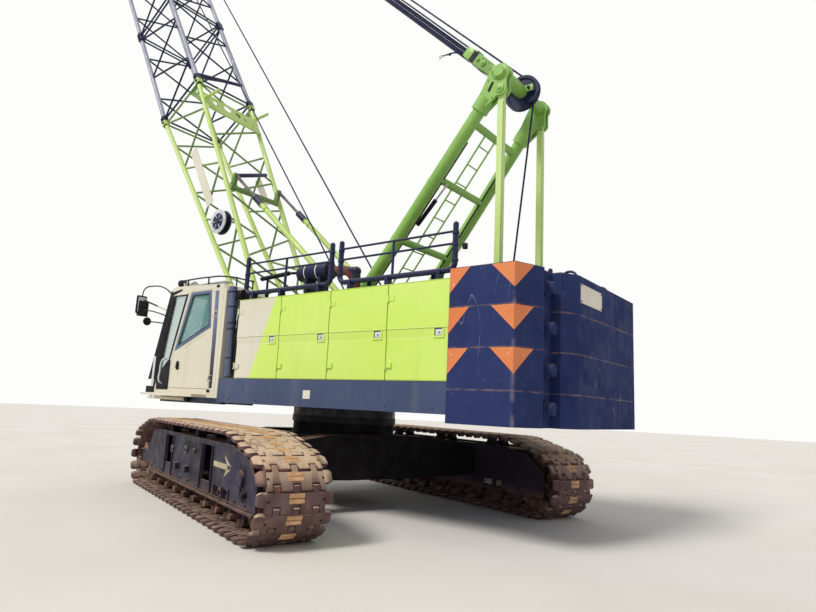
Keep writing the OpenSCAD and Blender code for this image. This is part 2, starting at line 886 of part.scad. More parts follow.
pane_t = 12;
mirror_x = 3380;
mirror_z = cab_z + 1610;
roof_rail_x = 2560;
roof_rail_z = cab_top + 70;
lamp_y = cab_out_y - 260;
lamp_r = 75;

module cab_shell() {
    hole = inset(cab_outline, cab_wall);
    color(beige)
        difference() {
            side_slab(cab_inner_y, cab_out_y)
                polygon(cab_outline);
            side_slab(cab_inner_y + cab_wall, cab_out_y - cab_wall)
                polygon(hole);
            // Door opening, quarter window and the window on the boom side
            side_slab(cab_out_y - cab_wall - 1, cab_out_y + 1)
                polygon(inset(door_outline, -door_gap));
            side_slab(cab_out_y - cab_wall - 1, cab_out_y + 1)
                polygon(quarter_window);
            side_slab(cab_inner_y - 1, cab_inner_y + cab_wall + 1)
                polygon(side_window);
            // Windscreen, roof light and rear window
            side_slab(cab_inner_y + screen_in, cab_out_y - screen_in)
                polygon([
                    [brow[0], screen_z[0]], [cab_front_low + 190, screen_z[0]],
                    [brow[0] + 200, screen_z[1]], [brow[0] - 200, screen_z[1]]
                ]);
            box([roof_light[0], cab_inner_y + window_in, light_z - 140],
                [roof_light[1], cab_out_y - window_in, cab_top + 90]);
            box([cab_rear - 1, cab_inner_y + window_in, rear_window[0]],
                [cab_rear + cab_wall + 1, cab_out_y - window_in, rear_window[1]]);
        }
    color(beige)
        for (z = cab_hinge_z) {
            hinge_ears(cab_hinge_x, cab_out_y - 1, z, 0);
            for (d = sides)
                box([cab_hinge_x - 60, cab_out_y - 1, z + d * 38 - 6],
                    [cab_hinge_x + 2, cab_out_y + 8, z + d * 38 + 6]);
        }
    // Mirror arm, roof rail and lamp, and the step under the door
    color(navy) {
        bar([2760, cab_out_y - 60, mirror_z - 240], [mirror_x, cab_out_y + 130, mirror_z - 10], 14, 16);
        bar([mirror_x, cab_out_y + 130, mirror_z - 5], [mirror_x, cab_out_y + 130, mirror_z - 300], 12, 16);
        box([mirror_x - 50, cab_out_y + 40, mirror_z - 300], [mirror_x - 10, cab_out_y + 220, mirror_z - 40]);
        for (y = [cab_inner_y + window_in, cab_out_y - window_in])
            bar([roof_rail_x, y, cab_top - 20], [roof_rail_x, y, roof_rail_z + 10], 14, 16);
        bar([roof_rail_x, cab_inner_y + 100, roof_rail_z], [roof_rail_x, cab_out_y - 100, roof_rail_z], 14, 16);
        bar([roof_rail_x + 80, lamp_y, roof_rail_z - 15],
            [roof_rail_x - 80, lamp_y, roof_rail_z - 15], lamp_r, 24);
    }
    color(steel) {
        box([1500, cab_out_y - 1, cab_z + 2], [2900, cab_out_y + 250, cab_z + 42]);
        box([deck_front + seat, cab_inner_y + 60, cab_z + 40], [cab_rear + 2, cab_out_y - 60, cab_z + 240]);
    }
}

module pane(points, y) {
    side_slab(y, y + pane_t)
        polygon(inset(points, seat));
}

module cab_glass() {
    color(glass) {
        pane(side_window, cab_inner_y + 16);
        pane(quarter_window, cab_out_y - 30);
        side_slab(cab_inner_y + screen_in + seat, cab_out_y - screen_in - seat)
            polygon([
                [screen_x(screen_low) - 30, screen_low], [screen_x(screen_low) - 18, screen_low],
                [screen_x(screen_high) - 18, screen_high], [screen_x(screen_high) - 30, screen_high]
            ]);
        box([roof_light[0] + seat, cab_inner_y + window_in + seat, light_z],
            [roof_light[1] - seat, cab_out_y - window_in - seat, light_z + pane_t]);
        box([cab_rear + 16, cab_inner_y + window_in + seat, rear_window[0] + seat],
            [cab_rear + 28, cab_out_y - window_in - seat, rear_window[1] - seat]);
    }
}

module cab_door() {
    color(beige) {
        difference() {
            side_slab(cab_out_y - cab_wall + 4, cab_out_y)
                polygon(door_outline);
            side_slab(cab_out_y - cab_wall, cab_out_y + 1)
                polygon(door_window);
        }
        box([2300, cab_out_y - 1, cab_z + 470], [2400, cab_out_y + 26, cab_z + 510]);
        for (z = cab_hinge_z)
            knuckle(cab_hinge_x, z, 1);
    }
}

module cab_door_glass() {
    color(glass)
        pane(door_window, cab_out_y - 26);
}

module cab_seat() {
    z0 = cab_z + cab_wall + seat;
    mid_y = (cab_inner_y + cab_out_y) / 2;
    color(navy) {
        box([1700, mid_y - 170, z0], [2080, mid_y + 170, z0 + 330]);
        box([1640, mid_y - 210, z0 + 320], [2130, mid_y + 210, z0 + 450]);
        side_slab(mid_y - 200, mid_y + 200)
            polygon([[1620, z0 + 400], [1740, z0 + 400], [1660, z0 + 1080], [1560, z0 + 1080]]);
        for (s = sides)
            box([1720, s > 0 ? mid_y + 200 : mid_y - 300, z0 + 330],
                [2230, s > 0 ? mid_y + 300 : mid_y - 200, z0 + 560]);
        for (s = sides)
            bar([2160, mid_y + s * 250, z0 + 550], [2160, mid_y + s * 250, z0 + 700], 16, 16);
        box([2560, mid_y - 180, z0], [2720, mid_y + 180, z0 + 640]);
        box([2070, mid_y - 60, z0], [2570, mid_y + 60, z0 + 60]);
    }
}

// Counterweight slabs: the left rear corner is cut in for knobs in a channel, the right one is chamfered
side_x = -3607;
corner = [-3753, 1080];
channel_y = 780;
channel_x = -3700;
block = [[-3810, 780], [weight_rear, 560]];
right_corner = [100, 90];
weight_half_w = deck_half_w + 15;
pocket_x = tail_x - 40;
pocket_half = 720;
knob_r = 70;
weight_front = deck_rear - seat;
weight_plan = [
    [pocket_x, -pocket_half], [pocket_x, pocket_half],
    [weight_front, pocket_half], [weight_front, weight_half_w],
    [side_x, weight_half_w], corner, [channel_x, corner[1] - 6], [channel_x, channel_y + 6], block[0], block[1],
    [weight_rear, right_corner[1] - weight_half_w], [weight_rear + right_corner[0], -weight_half_w],
    [weight_front, -weight_half_w], [weight_front, -pocket_half]
];

module weight_slab(z, t) {
    translate([0, 0, z])
        linear_extrude(t)
            polygon(weight_plan);
    translate([channel_x + 1, (corner[1] + channel_y) / 2, z + t * 0.55])
        rotate([0, -90, 0])
            cylinder(r = knob_r, h = 95, $fn = 36);
}

module counterweight(k) {
    z = k == 0 ? weight_z : weight_z + tray_t + (k - 1) * slab_t + seat * k;
    color(slate)
        weight_slab(z, k == 0 ? tray_t : slab_t - seat);
}

// Gantry
leg_top = [-2620, 5309];
head_x = link_x;
head_z = link_top_z + 225;
leg_top_y = 575;
head_plate_t = 35;
ladder_low = 0.3;

function leg_point(s, t) =
    [leg_foot_x + t * (leg_top[0] - leg_foot_x), s * (leg_foot_y + t * (leg_top_y - leg_foot_y)),
     leg_foot_z + t * (leg_top[1] - leg_foot_z)];

module gantry_legs() {
    color(green) {
        for (s = sides) {
            difference() {
                union() {
                    bar(leg_point(s, 0.035), leg_point(s, 1), leg_r, 48);
                    side_slab(s * leg_foot_y - leg_lug_w / 2, s * leg_foot_y + leg_lug_w / 2)
                        union() {
                            translate([leg_foot_x, leg_foot_z])
                                circle(r = 72, $fn = 48);
                            polygon([
                                [leg_foot_x - 66, leg_foot_z - 30], [leg_foot_x + 60, leg_foot_z + 40],
                                [leg_foot_x - 60, leg_foot_z + 300], [leg_foot_x - 200, leg_foot_z + 200]
                            ]);
                        }
                    bar(leg_point(s, 0.985), leg_point(s, 1), leg_r + 30, 48);
                }
                cross_bar(leg_foot_x, s * leg_foot_y, leg_foot_z, leg_pin_r + run, 2 * leg_lug_w, 36);
            }
        }
        // Cross tubes
        for (t = [0.54, 0.76, 0.95])
            bar(leg_point(-1, t), leg_point(1, t), 52, 36);
        // Ladder between the legs
        for (y = [-60, 200])
            bar(leg_point(0, ladder_low) + [0, y, 0], leg_point(0, 0.94) + [0, y, 0], 13, 12);
        for (i = [0:9]) {
            t = ladder_low + 0.03 + i * 0.064;
            bar(leg_point(0, t) + [0, -60, 0], leg_point(0, t) + [0, 200, 0], 10, 12);
        }
    }
}

module gantry_links() {
    color(green)
        for (s = sides)
            difference() {
                union() {
                    side_slab(s * link_y - link_w / 2, s * link_y + link_w / 2)
                        union() {
                            polygon([
                                [link_x - 45, link_low_z], [link_x + 45, link_low_z],
                                [link_x + 42, link_top_z], [link_x - 42, link_top_z]
                            ]);
                            for (p = [[link_low_z, 70], [link_top_z, 66]])
                                translate([link_x, p[0]])
                                    circle(r = p[1], $fn = 48);
                        }
                    box([link_x - 38, s * link_y - 45, link_low_z + 160],
                        [link_x + 38, s * link_y + 45, link_top_z - 160]);
                }
                for (z = [link_low_z, link_top_z])
                    cross_bar(link_x, s * link_y, z, link_pin_r + run, 2 * link_w, 36);
            }
}

// Head: two cheeks on each leg top round the link's eye, the head tube, and the sheave's arms
sheave_w = 60;
sheave_pin_r = 40;
spreader_pin = [head_x + 215, head_z + 225];
spreader_half = 150;
spreader_pin_r = 35;

leg_run = [leg_top[0] - leg_foot_x, leg_top[1] - leg_foot_z];
leg_dir = leg_run / norm(leg_run);

// A point beyond the leg's end: a along the leg, b forward and up across it
function past_leg(a, b) = leg_top + a * leg_dir + b * [leg_dir[1], -leg_dir[0]];

module head_cheek(y_mid) {
    side_slab(y_mid - head_plate_t / 2, y_mid + head_plate_t / 2)
        union() {
            polygon([
                past_leg(5, -95), past_leg(5, 95), past_leg(150, 95), [head_x + 120, head_z + 100],
                [head_x - 90, head_z + 60], [head_x - 85, link_top_z - 40], [head_x + 40, link_top_z - 80]
            ]);
            translate([head_x, head_z])
                circle(r = 120, $fn = 48);
            translate([head_x, link_top_z])
                circle(r = 88, $fn = 48);
        }
}

module gantry_head() {
    cheek_off = link_w / 2 + ear_gap + head_plate_t / 2;
    color(green) {
        for (s = sides) {
            for (d = sides)
                head_cheek(s * leg_top_y + d * cheek_off);
            cross_bar(head_x, s * leg_top_y, link_top_z, link_pin_r, 2 * cheek_off + head_plate_t + 20, 36);
            leg_u = (leg_point(s, 1) - leg_point(s, 0)) / norm(leg_point(s, 1) - leg_point(s, 0));
            bar(leg_point(s, 1) + seat * leg_u, leg_point(s, 1) + 110 * leg_u, leg_r + 28, 48);
            in = sheave_w / 2 + ear_gap;
            cross_bar(head_x, s * (in + leg_top_y) / 2, head_z, head_tube_r, leg_top_y - in, 48);
            cross_bar(head_x, s * (leg_top_y + 60), head_z, head_tube_r - 10, 110, 48);
            // Ears of the spreader's hinge pin
            side_slab(s > 0 ? spreader_half - 45 : -spreader_half + 15,
                      s > 0 ? spreader_half - 15 : -spreader_half + 45)
                union() {
                    polygon([
                        [head_x - 20, head_z + 80], [head_x + 80, head_z - 20],
                        [spreader_pin[0] + 50, spreader_pin[1] - 40],
                        [spreader_pin[0] - 40, spreader_pin[1] + 50]
                    ]);
                    translate(spreader_pin)
                        circle(r = 64, $fn = 36);
                }
        }
        cross_bar(head_x, 0, head_z, sheave_pin_r, 2 * head_tube_r, 36);
        for (s = sides)
            cross_bar(spreader_pin[0], s * (spreader_half - 47), spreader_pin[1], spreader_pin_r, 96, 36);
    }
}

groove = 24;

module grooved_sheave(r, w, bore_r) {
    rotate([90, 0, 0])
        rotate_extrude($fn = 72)
            polygon([
                [bore_r, -w / 2], [0.3 * r, -w / 2], [0.36 * r, -w / 5], [0.78 * r, -w / 5], [0.84 * r, -w / 2],
                [r, -w / 2], [r, -w / 2 + 6], [r - groove, -8], [r - groove, 8], [r, w / 2 - 6], [r, w / 2],
                [0.84 * r, w / 2], [0.78 * r, w / 5], [0.36 * r, w / 5], [0.3 * r, w / 2], [bore_r, w / 2]
            ]);
}

module gantry_sheave() {
    color(navy)
        translate([head_x, 0, head_z])
            grooved_sheave(guide_sheave_r, sheave_w, sheave_pin_r + run);
}

// Winches: shaft place along X, half length of the drum
front_winch_x = -400;
rear_winch_x = -1330;
boom_winch_x = -2420;
winch_half = 390;
winch_shaft_r = 50;
stand_y = 412;
stand_t = 28;

module winch_stands() {
    color(slate)
        for (x = [front_winch_x, rear_winch_x, boom_winch_x])
            for (s = sides) {
                y_low = s > 0 ? stand_y : -stand_y - stand_t;
                difference() {
                    side_slab(y_low, y_low + stand_t)
                        union() {
                            polygon([
                                [x - 330, floor_z + seat], [x + 330, floor_z + seat],
                                [x + 150, winch_z], [x - 150, winch_z]
                            ]);
                            translate([x, winch_z])
                                circle(r = 150, $fn = 48);
                        }
                    cross_bar(x, y_low, winch_z, winch_shaft_r + run, 200, 48);
                }
            }
}

module winch(x) {
    translate([x, 0, winch_z]) {
        cross_bar(0, 0, 0, drum_r, 2 * winch_half - 40, 72);
        for (s = sides)
            cross_bar(0, s * (winch_half - 15), 0, flange_r, 30, 72);
        cross_bar(0, 0, 0, winch_shaft_r, 2 * (stand_y + stand_t) + 20, 48);
    }
}

module front_winch() {
    color(navy)
        winch(front_winch_x);
}

module rear_winch() {
    color(navy)
        winch(rear_winch_x);
}

module boom_winch() {
    color(navy)
        winch(boom_winch_x);
}

// Boom, drawn along +X from the foot pin with +Z towards the gantry
rear_n = 537;
front_n = rear_n - boom_d;
foot_n = 121;
s_base = base_len;
s_insert = s_base + insert_len;
s_long = s_insert + long_len;
s_head = s_long + top_len;
head_half_w = 300;
head_front_n = -330;
head_rear_n = 250;
head_chord_s = s_head - 700;
shaft_n = -620;
stay_pin_s = s_head - 420;
stay_pin_n = 380;
stay_y = 500;
stay_pin_r = 30;
stay_tube_r = 44;
stay_eye_t = 22;
stay_face = stay_y - stay_eye_t / 2 - seat;
end_gap = 70;
end_lug = 118;
lug_in = 40;
lug_half = 56;
shaft_r = 45;
jib_pin_r = 31;

module on_boom() {
    translate([foot_x, 0, foot_z])
        rotate([0, -boom_angle, 0])
            children();
}

// Four chord ends at one station: half width, front and rear height
function station(s, half_w, n_front, n_rear) =
    [[s, half_w, n_rear], [s, -half_w, n_rear], [s, -half_w, n_front], [s, half_w, n_front]];

foot_station = station(0, boom_foot_half, -foot_n, foot_n);
full_half = boom_w / 2;

function full_station(s) = station(s, full_half, front_n, rear_n);

head_station = station(head_chord_s, head_half_w, head_front_n, head_rear_n);

// Square lugs at the chords' ends, where one section is pinned to the next
module end_lugs(s_low, s_high) {
    for (y = [-full_half, full_half])
        for (n = [front_n, rear_n])
            box([s_low, y - lug_half, n - lug_half], [s_high, y + lug_half, n + lug_half]);
}

// Chords, end frames and zigzag lacing between two stations: t runs from 0 to 1 and the
// chords from t_chord[0] to t_chord[1]
module lattice(a, b, t_chord, t_low, t_high, panels) {
    at = function(k, t) a[k] + t * (b[k] - a[k]);
    for (k = [0:3])
        bar(at(k, t_chord[0]), at(k, t_chord[1]), chord_r, chord_fn, chord_spin);
    for (k = [0:3]) {
        m = (k + 1) % 4;
        for (t = [t_low, t_high])
            bar(at(k, t), at(m, t), lace_r);
        for (i = [0:panels - 1]) {
            t0 = t_low + (t_high - t_low) * i / panels;
            t1 = t_low + (t_high - t_low) * (i + 1) / panels;
            bar(at(i % 2 == 0 ? k : m, t0), at(i % 2 == 0 ? m : k, t1), lace_r);
        }
    }
}

module boom_base() {
    color(lime)
        on_boom()
            difference() {
                union() {
                    lattice(foot_station, full_station(s_base), [0.045, 1 - lug_in / base_len],
                            0.12, 1 - end_gap / base_len, 8);
                    end_lugs(s_base - end_lug, s_base);
                    for (s = sides)
                        side_slab(s * boom_foot_half - foot_lug_w / 2, s * boom_foot_half + foot_lug_w / 2)
                            union() {
                                circle(r = 95, $fn = 48);
                                polygon([[0, -95], [420, -165], [420, 165], [0, 95]]);
                            }
                    for (s = sides)
                        backstop_lug(s);
                    bar([stop_tube_s, -stop_tube_half, stop_tube_n],
                        [stop_tube_s, stop_tube_half, stop_tube_n], 50, chord_fn);
                    for (s = sides)
                        truss_plate(s);
                }
                cross_bar(0, 0, 0, foot_pin_r + run, 2 * boom_w, 48);
            }
}

// Backstop pins stand on a cross tube between the rear chords of the base section
stop_s = 3960;
stop_chord_n = foot_n + (rear_n - foot_n) * stop_s / base_len;
stop_pin_n = stop_chord_n + 170;
stop_tube_s = stop_s - 150;
stop_tube_n = foot_n + (rear_n - foot_n) * stop_tube_s / base_len;
stop_eye_w = 34;
stop_tube_half = base_half_w(stop_tube_s);

module backstop_lug(s) {
    for (d = sides)
        side_slab(s * stop_y + d * (stop_eye_w / 2 + ear_gap + 9) - 9,
                  s * stop_y + d * (stop_eye_w / 2 + ear_gap + 9) + 9)
            union() {
                polygon([
                    [stop_tube_s - 48, stop_tube_n], [stop_tube_s + 48, stop_tube_n],
                    [stop_s + 34, stop_pin_n - 16], [stop_s - 30, stop_pin_n + 24]
                ]);
                translate([stop_s, stop_pin_n])
                    circle(r = 38, $fn = 36);
            }
}

// Pierced triangular plate on each rear chord under the top of the base section
module truss_plate(s) {
    y = s * (full_half - 17);
    side_slab(y - 8, y + 8)
        difference() {
            polygon([
                [s_base - 620, rear_n - 70], [s_base - 90, rear_n - 30], [s_base - 90, rear_n - 330]
            ]);
            for (p = [[s_base - 190, rear_n - 130, 46], [s_base - 320, rear_n - 110, 32]])
                translate([p[0], p[1]])
                    circle(r = p[2], $fn = 24);
        }
}

module straight_section(s_low, s_high, panels) {
    t_lug = lug_in / (s_high - s_low);
    t_gap = end_gap / (s_high - s_low);
    lattice(full_station(s_low), full_station(s_high), [t_lug, 1 - t_lug], t_gap, 1 - t_gap, panels);
    end_lugs(s_low + seat, s_low + end_lug);
    end_lugs(s_high - end_lug, s_high);
}

module boom_insert() {
    color(navy)
        on_boom()
            straight_section(s_base, s_insert, 4);
}

module boom_long_insert() {
    color(navy)
        on_boom()
            straight_section(s_insert, s_long, 8);
}

module head_cheek_plate(y_low) {
    side_slab(y_low, y_low + 30)
        difference() {
            union() {
                polygon([
                    [head_chord_s - 60, head_rear_n + 45], [stay_pin_s + 60, stay_pin_n + 50],
                    [s_head + 60, head_rear_n - 80], [s_head + 90, shaft_n + 60],
                    [s_head - 90, shaft_n - 40], [head_chord_s - 60, head_front_n - 45]
                ]);
                translate([s_head, shaft_n])
                    circle(r = 95, $fn = 48);
                translate([stay_pin_s, stay_pin_n])
                    circle(r = 70, $fn = 36);
            }
            translate([s_head - 380, -60])
                circle(r = 130, $fn = 36);
            // Jib pin hole
            translate([s_head - 20, 60])
                circle(r = jib_pin_r, $fn = 48);
        }
}

module boom_top() {
    color(lime)
        on_boom() {
            lattice(full_station(s_long), head_station, [lug_in / top_len, 1], end_gap / top_len, 0.97, 8);
            end_lugs(s_long + seat, s_long + end_lug);
            for (s = sides)
                head_cheek_plate(s > 0 ? head_half_w - 15 : -head_half_w - 15);
            cross_bar(s_head, 0, shaft_n, shaft_r, 2 * head_half_w + 60, 48);
            cross_bar(s_head - 150, 0, 120, 60, 2 * head_half_w, 36);
            cross_bar(stay_pin_s, 0, stay_pin_n, stay_tube_r, 2 * (stay_face - 60), 36);
            cross_bar(stay_pin_s, 0, stay_pin_n, stay_pin_r, 2 * stay_face, 36);
        }
}

// A blank plate on each side of the base section and a cable reel on its left
plate_s = 4850;
reel_at = [3150, 30];
reel_r = 210;
reel_w = 130;

function base_half_w(s) = boom_foot_half + (full_half - boom_foot_half) * s / base_len;

module boom_fittings() {
    color(beige)
        on_boom() {
            plate_y = base_half_w(plate_s) + lace_r + seat;
            box([3770, plate_y, -240], [5210, plate_y + 10, -50]);
            box([4100, -plate_y - 10, -50], [plate_s, -plate_y, 110]);
            reel_y = base_half_w(reel_at[0] + reel_r) + lace_r + seat;
            for (y = [reel_y + 4, reel_y + reel_w - 4])
                cross_bar(reel_at[0], y, reel_at[1], reel_r, 8, 48);
            cross_bar(reel_at[0], reel_y + reel_w / 2, reel_at[1], reel_r - 50, reel_w - 8, 48);
        }
}

head_sheave_w = 56;

module head_sheaves() {
    color(navy)
        on_boom()
            for (y = [-165, -55, 55, 165])
                translate([s_head, y, shaft_n])
                    grooved_sheave(head_sheave_r, head_sheave_w, shaft_r + run);
}

// Hook block hanging plumb under the head shaft
head_u = [cos(boom_angle), sin(boom_angle)];
head_m = [-sin(boom_angle), cos(boom_angle)];
hook_at = [foot_x, foot_z] + s_head * head_u + shaft_n * head_m;
hook_drop = 1650;
block_sheave_r = 190;
rope_r = 10;

module at_hook() {
    translate([hook_at[0], 0, hook_at[1]])
        children();
}

module hook_block() {
    color(lime)
        at_hook() {
            for (y = [-165, -55, 55, 165])
                translate([0, y, -hook_drop])
                    grooved_sheave(block_sheave_r, 50, 30);
            cross_bar(0, 0, -hook_drop, 32, 500, 36);
            for (y = [-232, -110, 0, 110, 232])
                side_slab(y - 10, y + 10)
                    polygon([
                        [-90, -hook_drop + 150], [90, -hook_drop + 150],
                        [170, -hook_drop], [110, -hook_drop - 420],
                        [-110, -hook_drop - 420], [-170, -hook_drop]
                    ]);
            box([-75, -240, -hook_drop - 430], [75, 240, -hook_drop - 320]);
            translate([0, 0, -hook_drop - 640]) {
                cylinder(r = 45, h = 230, $fn = 36);
            }
            translate([0, 0, -hook_drop - 760])
                rotate([90, 0, 0])
                    difference() {
                        cylinder(r = 150, h = 80, center = true, $fn = 48);
                        cylinder(r = 78, h = 90, center = true, $fn = 48);
                        translate([60, -10, -50])
                            cube([120, 110, 100]);
                    }
        }
}

module hook_falls() {
    color(steel)
        at_hook()
            for (y = [-165, -55, 55, 165])
                for (s = sides)
                    bar([s * (head_sheave_r - groove + rope_r + seat), y, 0],
                        [s * (block_sheave_r - groove + rope_r + seat), y, -hook_drop], rope_r, 16);
}

// Backstops: tube on the deck, rod on the boom; both lie along the line between their pins
stop_pin = [foot_x, foot_z] + stop_s * head_u + stop_pin_n * head_m;
stop_v = stop_pin - [stop_x, stop_z];
stop_len = norm(stop_v);
stop_angle = atan2(stop_v[1], stop_v[0]);
tube_len = 4090;
cover_len = 260;
cover_r = 58;
rod_r = 26;
strap_len = 240;
bore_gap = 6;

module on_backstop(s) {
    translate([stop_x, s * stop_y, stop_z])
        rotate([0, -stop_angle, 0])
            children();
}

module backstop_tubes() {
    color(green)
        for (s = sides)
            on_backstop(s)
                difference() {
                    union() {
                        side_slab(-stop_lug_w / 2, stop_lug_w / 2)
                            union() {
                                circle(r = 46, $fn = 36);
                                translate([0, -40])
                                    square([160, 80]);
                            }
                        bar([120, 0, 0], [tube_len, 0, 0], backstop_r, 36);
                        bar([tube_len - 20, 0, 0], [tube_len + cover_len, 0, 0], cover_r, 36);
                    }
                    cross_bar(0, 0, 0, stop_pin_r + run, 200, 36);
                    bar([900, 0, 0], [tube_len + cover_len + 10, 0, 0], rod_r + bore_gap, 36);
                }
}

module backstop_rods() {
    color(steel)
        for (s = sides)
            on_backstop(s)
                difference() {
                    union() {
                        bar([2150, 0, 0], [stop_len - strap_len, 0, 0], rod_r, 36);
                        side_slab(-stop_eye_w / 2, stop_eye_w / 2)
                            union() {
                                translate([stop_len, 0])
                                    circle(r = 40, $fn = 36);
                                translate([stop_len - strap_len - 15, -rod_r])
                                    square([strap_len + 15, 2 * rod_r]);
                            }
                    }
                    cross_bar(stop_len, 0, 0, 21, 200, 36);
                }
}

// Boom stays: a spreader hinged on the gantry head, the reeved falls, the upper spreader and the pendants
stay_end = [foot_x, foot_z] + stay_pin_s * head_u + stay_pin_n * head_m;
stay_v = stay_end - spreader_pin;
stay_len = norm(stay_v);
stay_angle = atan2(stay_v[1], stay_v[0]);
lower_len = 900;
upper_at = 8400;
fall_places = [[-35, -70], [-35, 70], [35, -70], [35, 70]];
fall_step = 26;
fall_r = 10;
block_at = 640;
fall_low_end = 6000;
fall_up_start = 3200;
plate_out = spreader_half - 45 - ear_gap;
plate_in = plate_out - 20;

module on_stay() {
    translate([spreader_pin[0], 0, spreader_pin[1]])
        rotate([0, -stay_angle, 0])
            children();
}

// Two side plates along the stay, joined by the axle of the sheaves between them
module spreader_frame(from, to, half_h, axle_at) {
    for (s = sides)
        side_slab(s > 0 ? plate_in : -plate_out, s > 0 ? plate_out : -plate_in)
            polygon([
                [from, -half_h * 0.8], [axle_at, -half_h], [to, -half_h * 0.8],
                [to, half_h * 0.8], [axle_at, half_h], [from, half_h * 0.8]
            ]);
    for (y = [-35, 35])
        cross_bar(axle_at, y, 0, 70, 44, 48);
    cross_bar(axle_at, 0, 0, 24, 2 * plate_out + 30, 36);
}

module lower_spreader() {
    color(green)
        on_stay() {
            difference() {
                union() {
                    spreader_frame(0, lower_len, 85, block_at);
                    for (s = sides)
                        side_slab(s > 0 ? plate_in : -plate_out, s > 0 ? plate_out : -plate_in)
                            circle(r = 68, $fn = 36);
                    box([lower_len - 60, -plate_out, 50], [lower_len, plate_out, 68]);
                    box([lower_len - 60, -plate_out, -68], [lower_len, plate_out, -50]);
                    cross_bar(330, 0, 0, 30, 2 * plate_out + 24, 36);
                }
                for (s = sides)
                    cross_bar(0, s * plate_out, 0, spreader_pin_r + run, 120, 36);
            }
            for (p = fall_places)
                bar([block_at, p[0], p[1]], [fall_low_end, p[0], p[1]], fall_r);
        }
}

module upper_spreader() {
    beam = 110;
    color(green)
        on_stay() {
            spreader_frame(upper_at - 340, upper_at + 20, 85, upper_at - 240);
            box([upper_at, -stay_y - 40, -beam / 2], [upper_at + beam, stay_y + 40, beam / 2]);
            for (p = fall_places)
                bar([fall_up_start, p[0] + fall_step, p[1]], [upper_at - 240, p[0] + fall_step, p[1]], fall_r);
            for (s = sides) {
                bar([upper_at + beam - 1, s * stay_y, 0], [stay_len - 60, s * stay_y, 0], 18);
                side_slab(s * stay_y - stay_eye_t / 2, s * stay_y + stay_eye_t / 2)
                    union() {
                        polygon([[upper_at + beam - 1, -45], [upper_at + beam + 260, -20],
                                 [upper_at + beam + 260, 20], [upper_at + beam - 1, 45]]);
                        translate([stay_len, 0])
                            circle(r = 62, $fn = 36);
                        polygon([[stay_len - 260, -20], [stay_len, -60], [stay_len, 60], [stay_len - 260, 20]]);
                    }
            }
        }
}

car_body();
slewing_ring();
track_frames();
track_left();
track_right();
sprockets();
idlers();
rollers();
revolving_frame();
cab_shell();
cab_glass();
cab_seat();
cab_door();
cab_door_glass();
house_left();
house_right();
left_door(0);  // left_door_1
left_door(1);  // left_door_2
left_door(2);  // left_door_3
left_door(3);  // left_door_4
right_door(0);  // right_door_1
right_door(1);  // right_door_2
right_door(2);  // right_door_3
engine_block();
handrails();
exhaust_unit();
counterweight(0);  // counterweight_1
counterweight(1);  // counterweight_2
counterweight(2);  // counterweight_3
counterweight(3);  // counterweight_4
gantry_legs();
gantry_links();
gantry_head();
gantry_sheave();
winch_stands();
front_winch();
rear_winch();
boom_winch();
boom_base();
boom_insert();
boom_long_insert();
boom_top();
boom_fittings();
head_sheaves();
hook_block();
hook_falls();
backstop_tubes();
backstop_rods();
lower_spreader();
upper_spreader();
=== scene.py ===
"""Visual model of a lattice boom crawler crane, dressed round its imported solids.

Axes: +X the way the boom points, +Y the cab side, +Z up, in metres.
The origin is on the ground under the slewing axis.
"""
import math

import bmesh
import bpy
from mathutils import Matrix, Vector


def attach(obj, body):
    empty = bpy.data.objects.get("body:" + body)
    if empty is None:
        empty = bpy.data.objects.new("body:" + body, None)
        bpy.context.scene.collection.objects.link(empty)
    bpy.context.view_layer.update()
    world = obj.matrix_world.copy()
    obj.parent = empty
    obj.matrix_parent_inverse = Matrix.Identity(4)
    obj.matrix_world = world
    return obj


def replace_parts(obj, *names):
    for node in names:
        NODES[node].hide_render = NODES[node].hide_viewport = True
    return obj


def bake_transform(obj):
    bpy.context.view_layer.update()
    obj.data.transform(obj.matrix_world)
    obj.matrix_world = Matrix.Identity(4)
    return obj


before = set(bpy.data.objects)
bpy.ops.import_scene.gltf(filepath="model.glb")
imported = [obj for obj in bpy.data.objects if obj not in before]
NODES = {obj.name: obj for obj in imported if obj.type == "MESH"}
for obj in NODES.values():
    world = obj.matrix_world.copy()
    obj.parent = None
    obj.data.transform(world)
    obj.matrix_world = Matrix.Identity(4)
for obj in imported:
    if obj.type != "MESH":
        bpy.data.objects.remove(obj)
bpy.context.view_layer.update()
SIDES = (-1, 1)

# Sizes shared with the solids
TRACK_TURN = math.radians(-17.5)
TRACK_GAUGE = 4.04
SHOE_W = 0.8
SHOE_T = 0.06
SHOE_COUNT = 60
WHEEL_BASE = 4.59
TRACK_H = 1.07
END_R = 0.457
TOP_RUN = 3.18
BEND_R = 1.2
FRAME_HALF_W = 0.3
DECK_HALF_W = 1.45
DECK_Z = 1.34
HOUSE_TOP = 2.84
DECK_REAR = -2.81
CAB_TOP = 3.18
WEIGHT_REAR = -3.93
WEIGHT_SIDE = 1.465
SLAB_TOPS = (2.939, 2.496, 2.053)
HEAD = Vector((-2.914, 0, 5.686))
SPREADER_PIN = Vector((-2.699, 0, 5.911))
BOOM_FOOT = Vector((1.016, 0, 1.793))
STAY_ANGLE = math.radians(44.837)
BACKSTOP_ANGLE = math.radians(40.895)
BACKSTOP_FOOT = Vector((-1.3, 0, 2.07))
BASE_LEN = 6.6
INSERT_LEN = 2.9
LONG_LEN = 6.0
CHORD_Y = 0.657
CHORD_OUT = 0.537
CHORD_IN = -0.697
FOOT_HALF_Y = 0.582
FOOT_OUT = 0.121
BOOM_ANGLE = math.radians(58.7)
BOOM_UP = Vector((math.cos(BOOM_ANGLE), 0, math.sin(BOOM_ANGLE)))
BOOM_OUT = Vector((-math.sin(BOOM_ANGLE), 0, math.cos(BOOM_ANGLE)))


# Modelling tools
def deselect():
    bpy.ops.object.select_all(action="DESELECT")


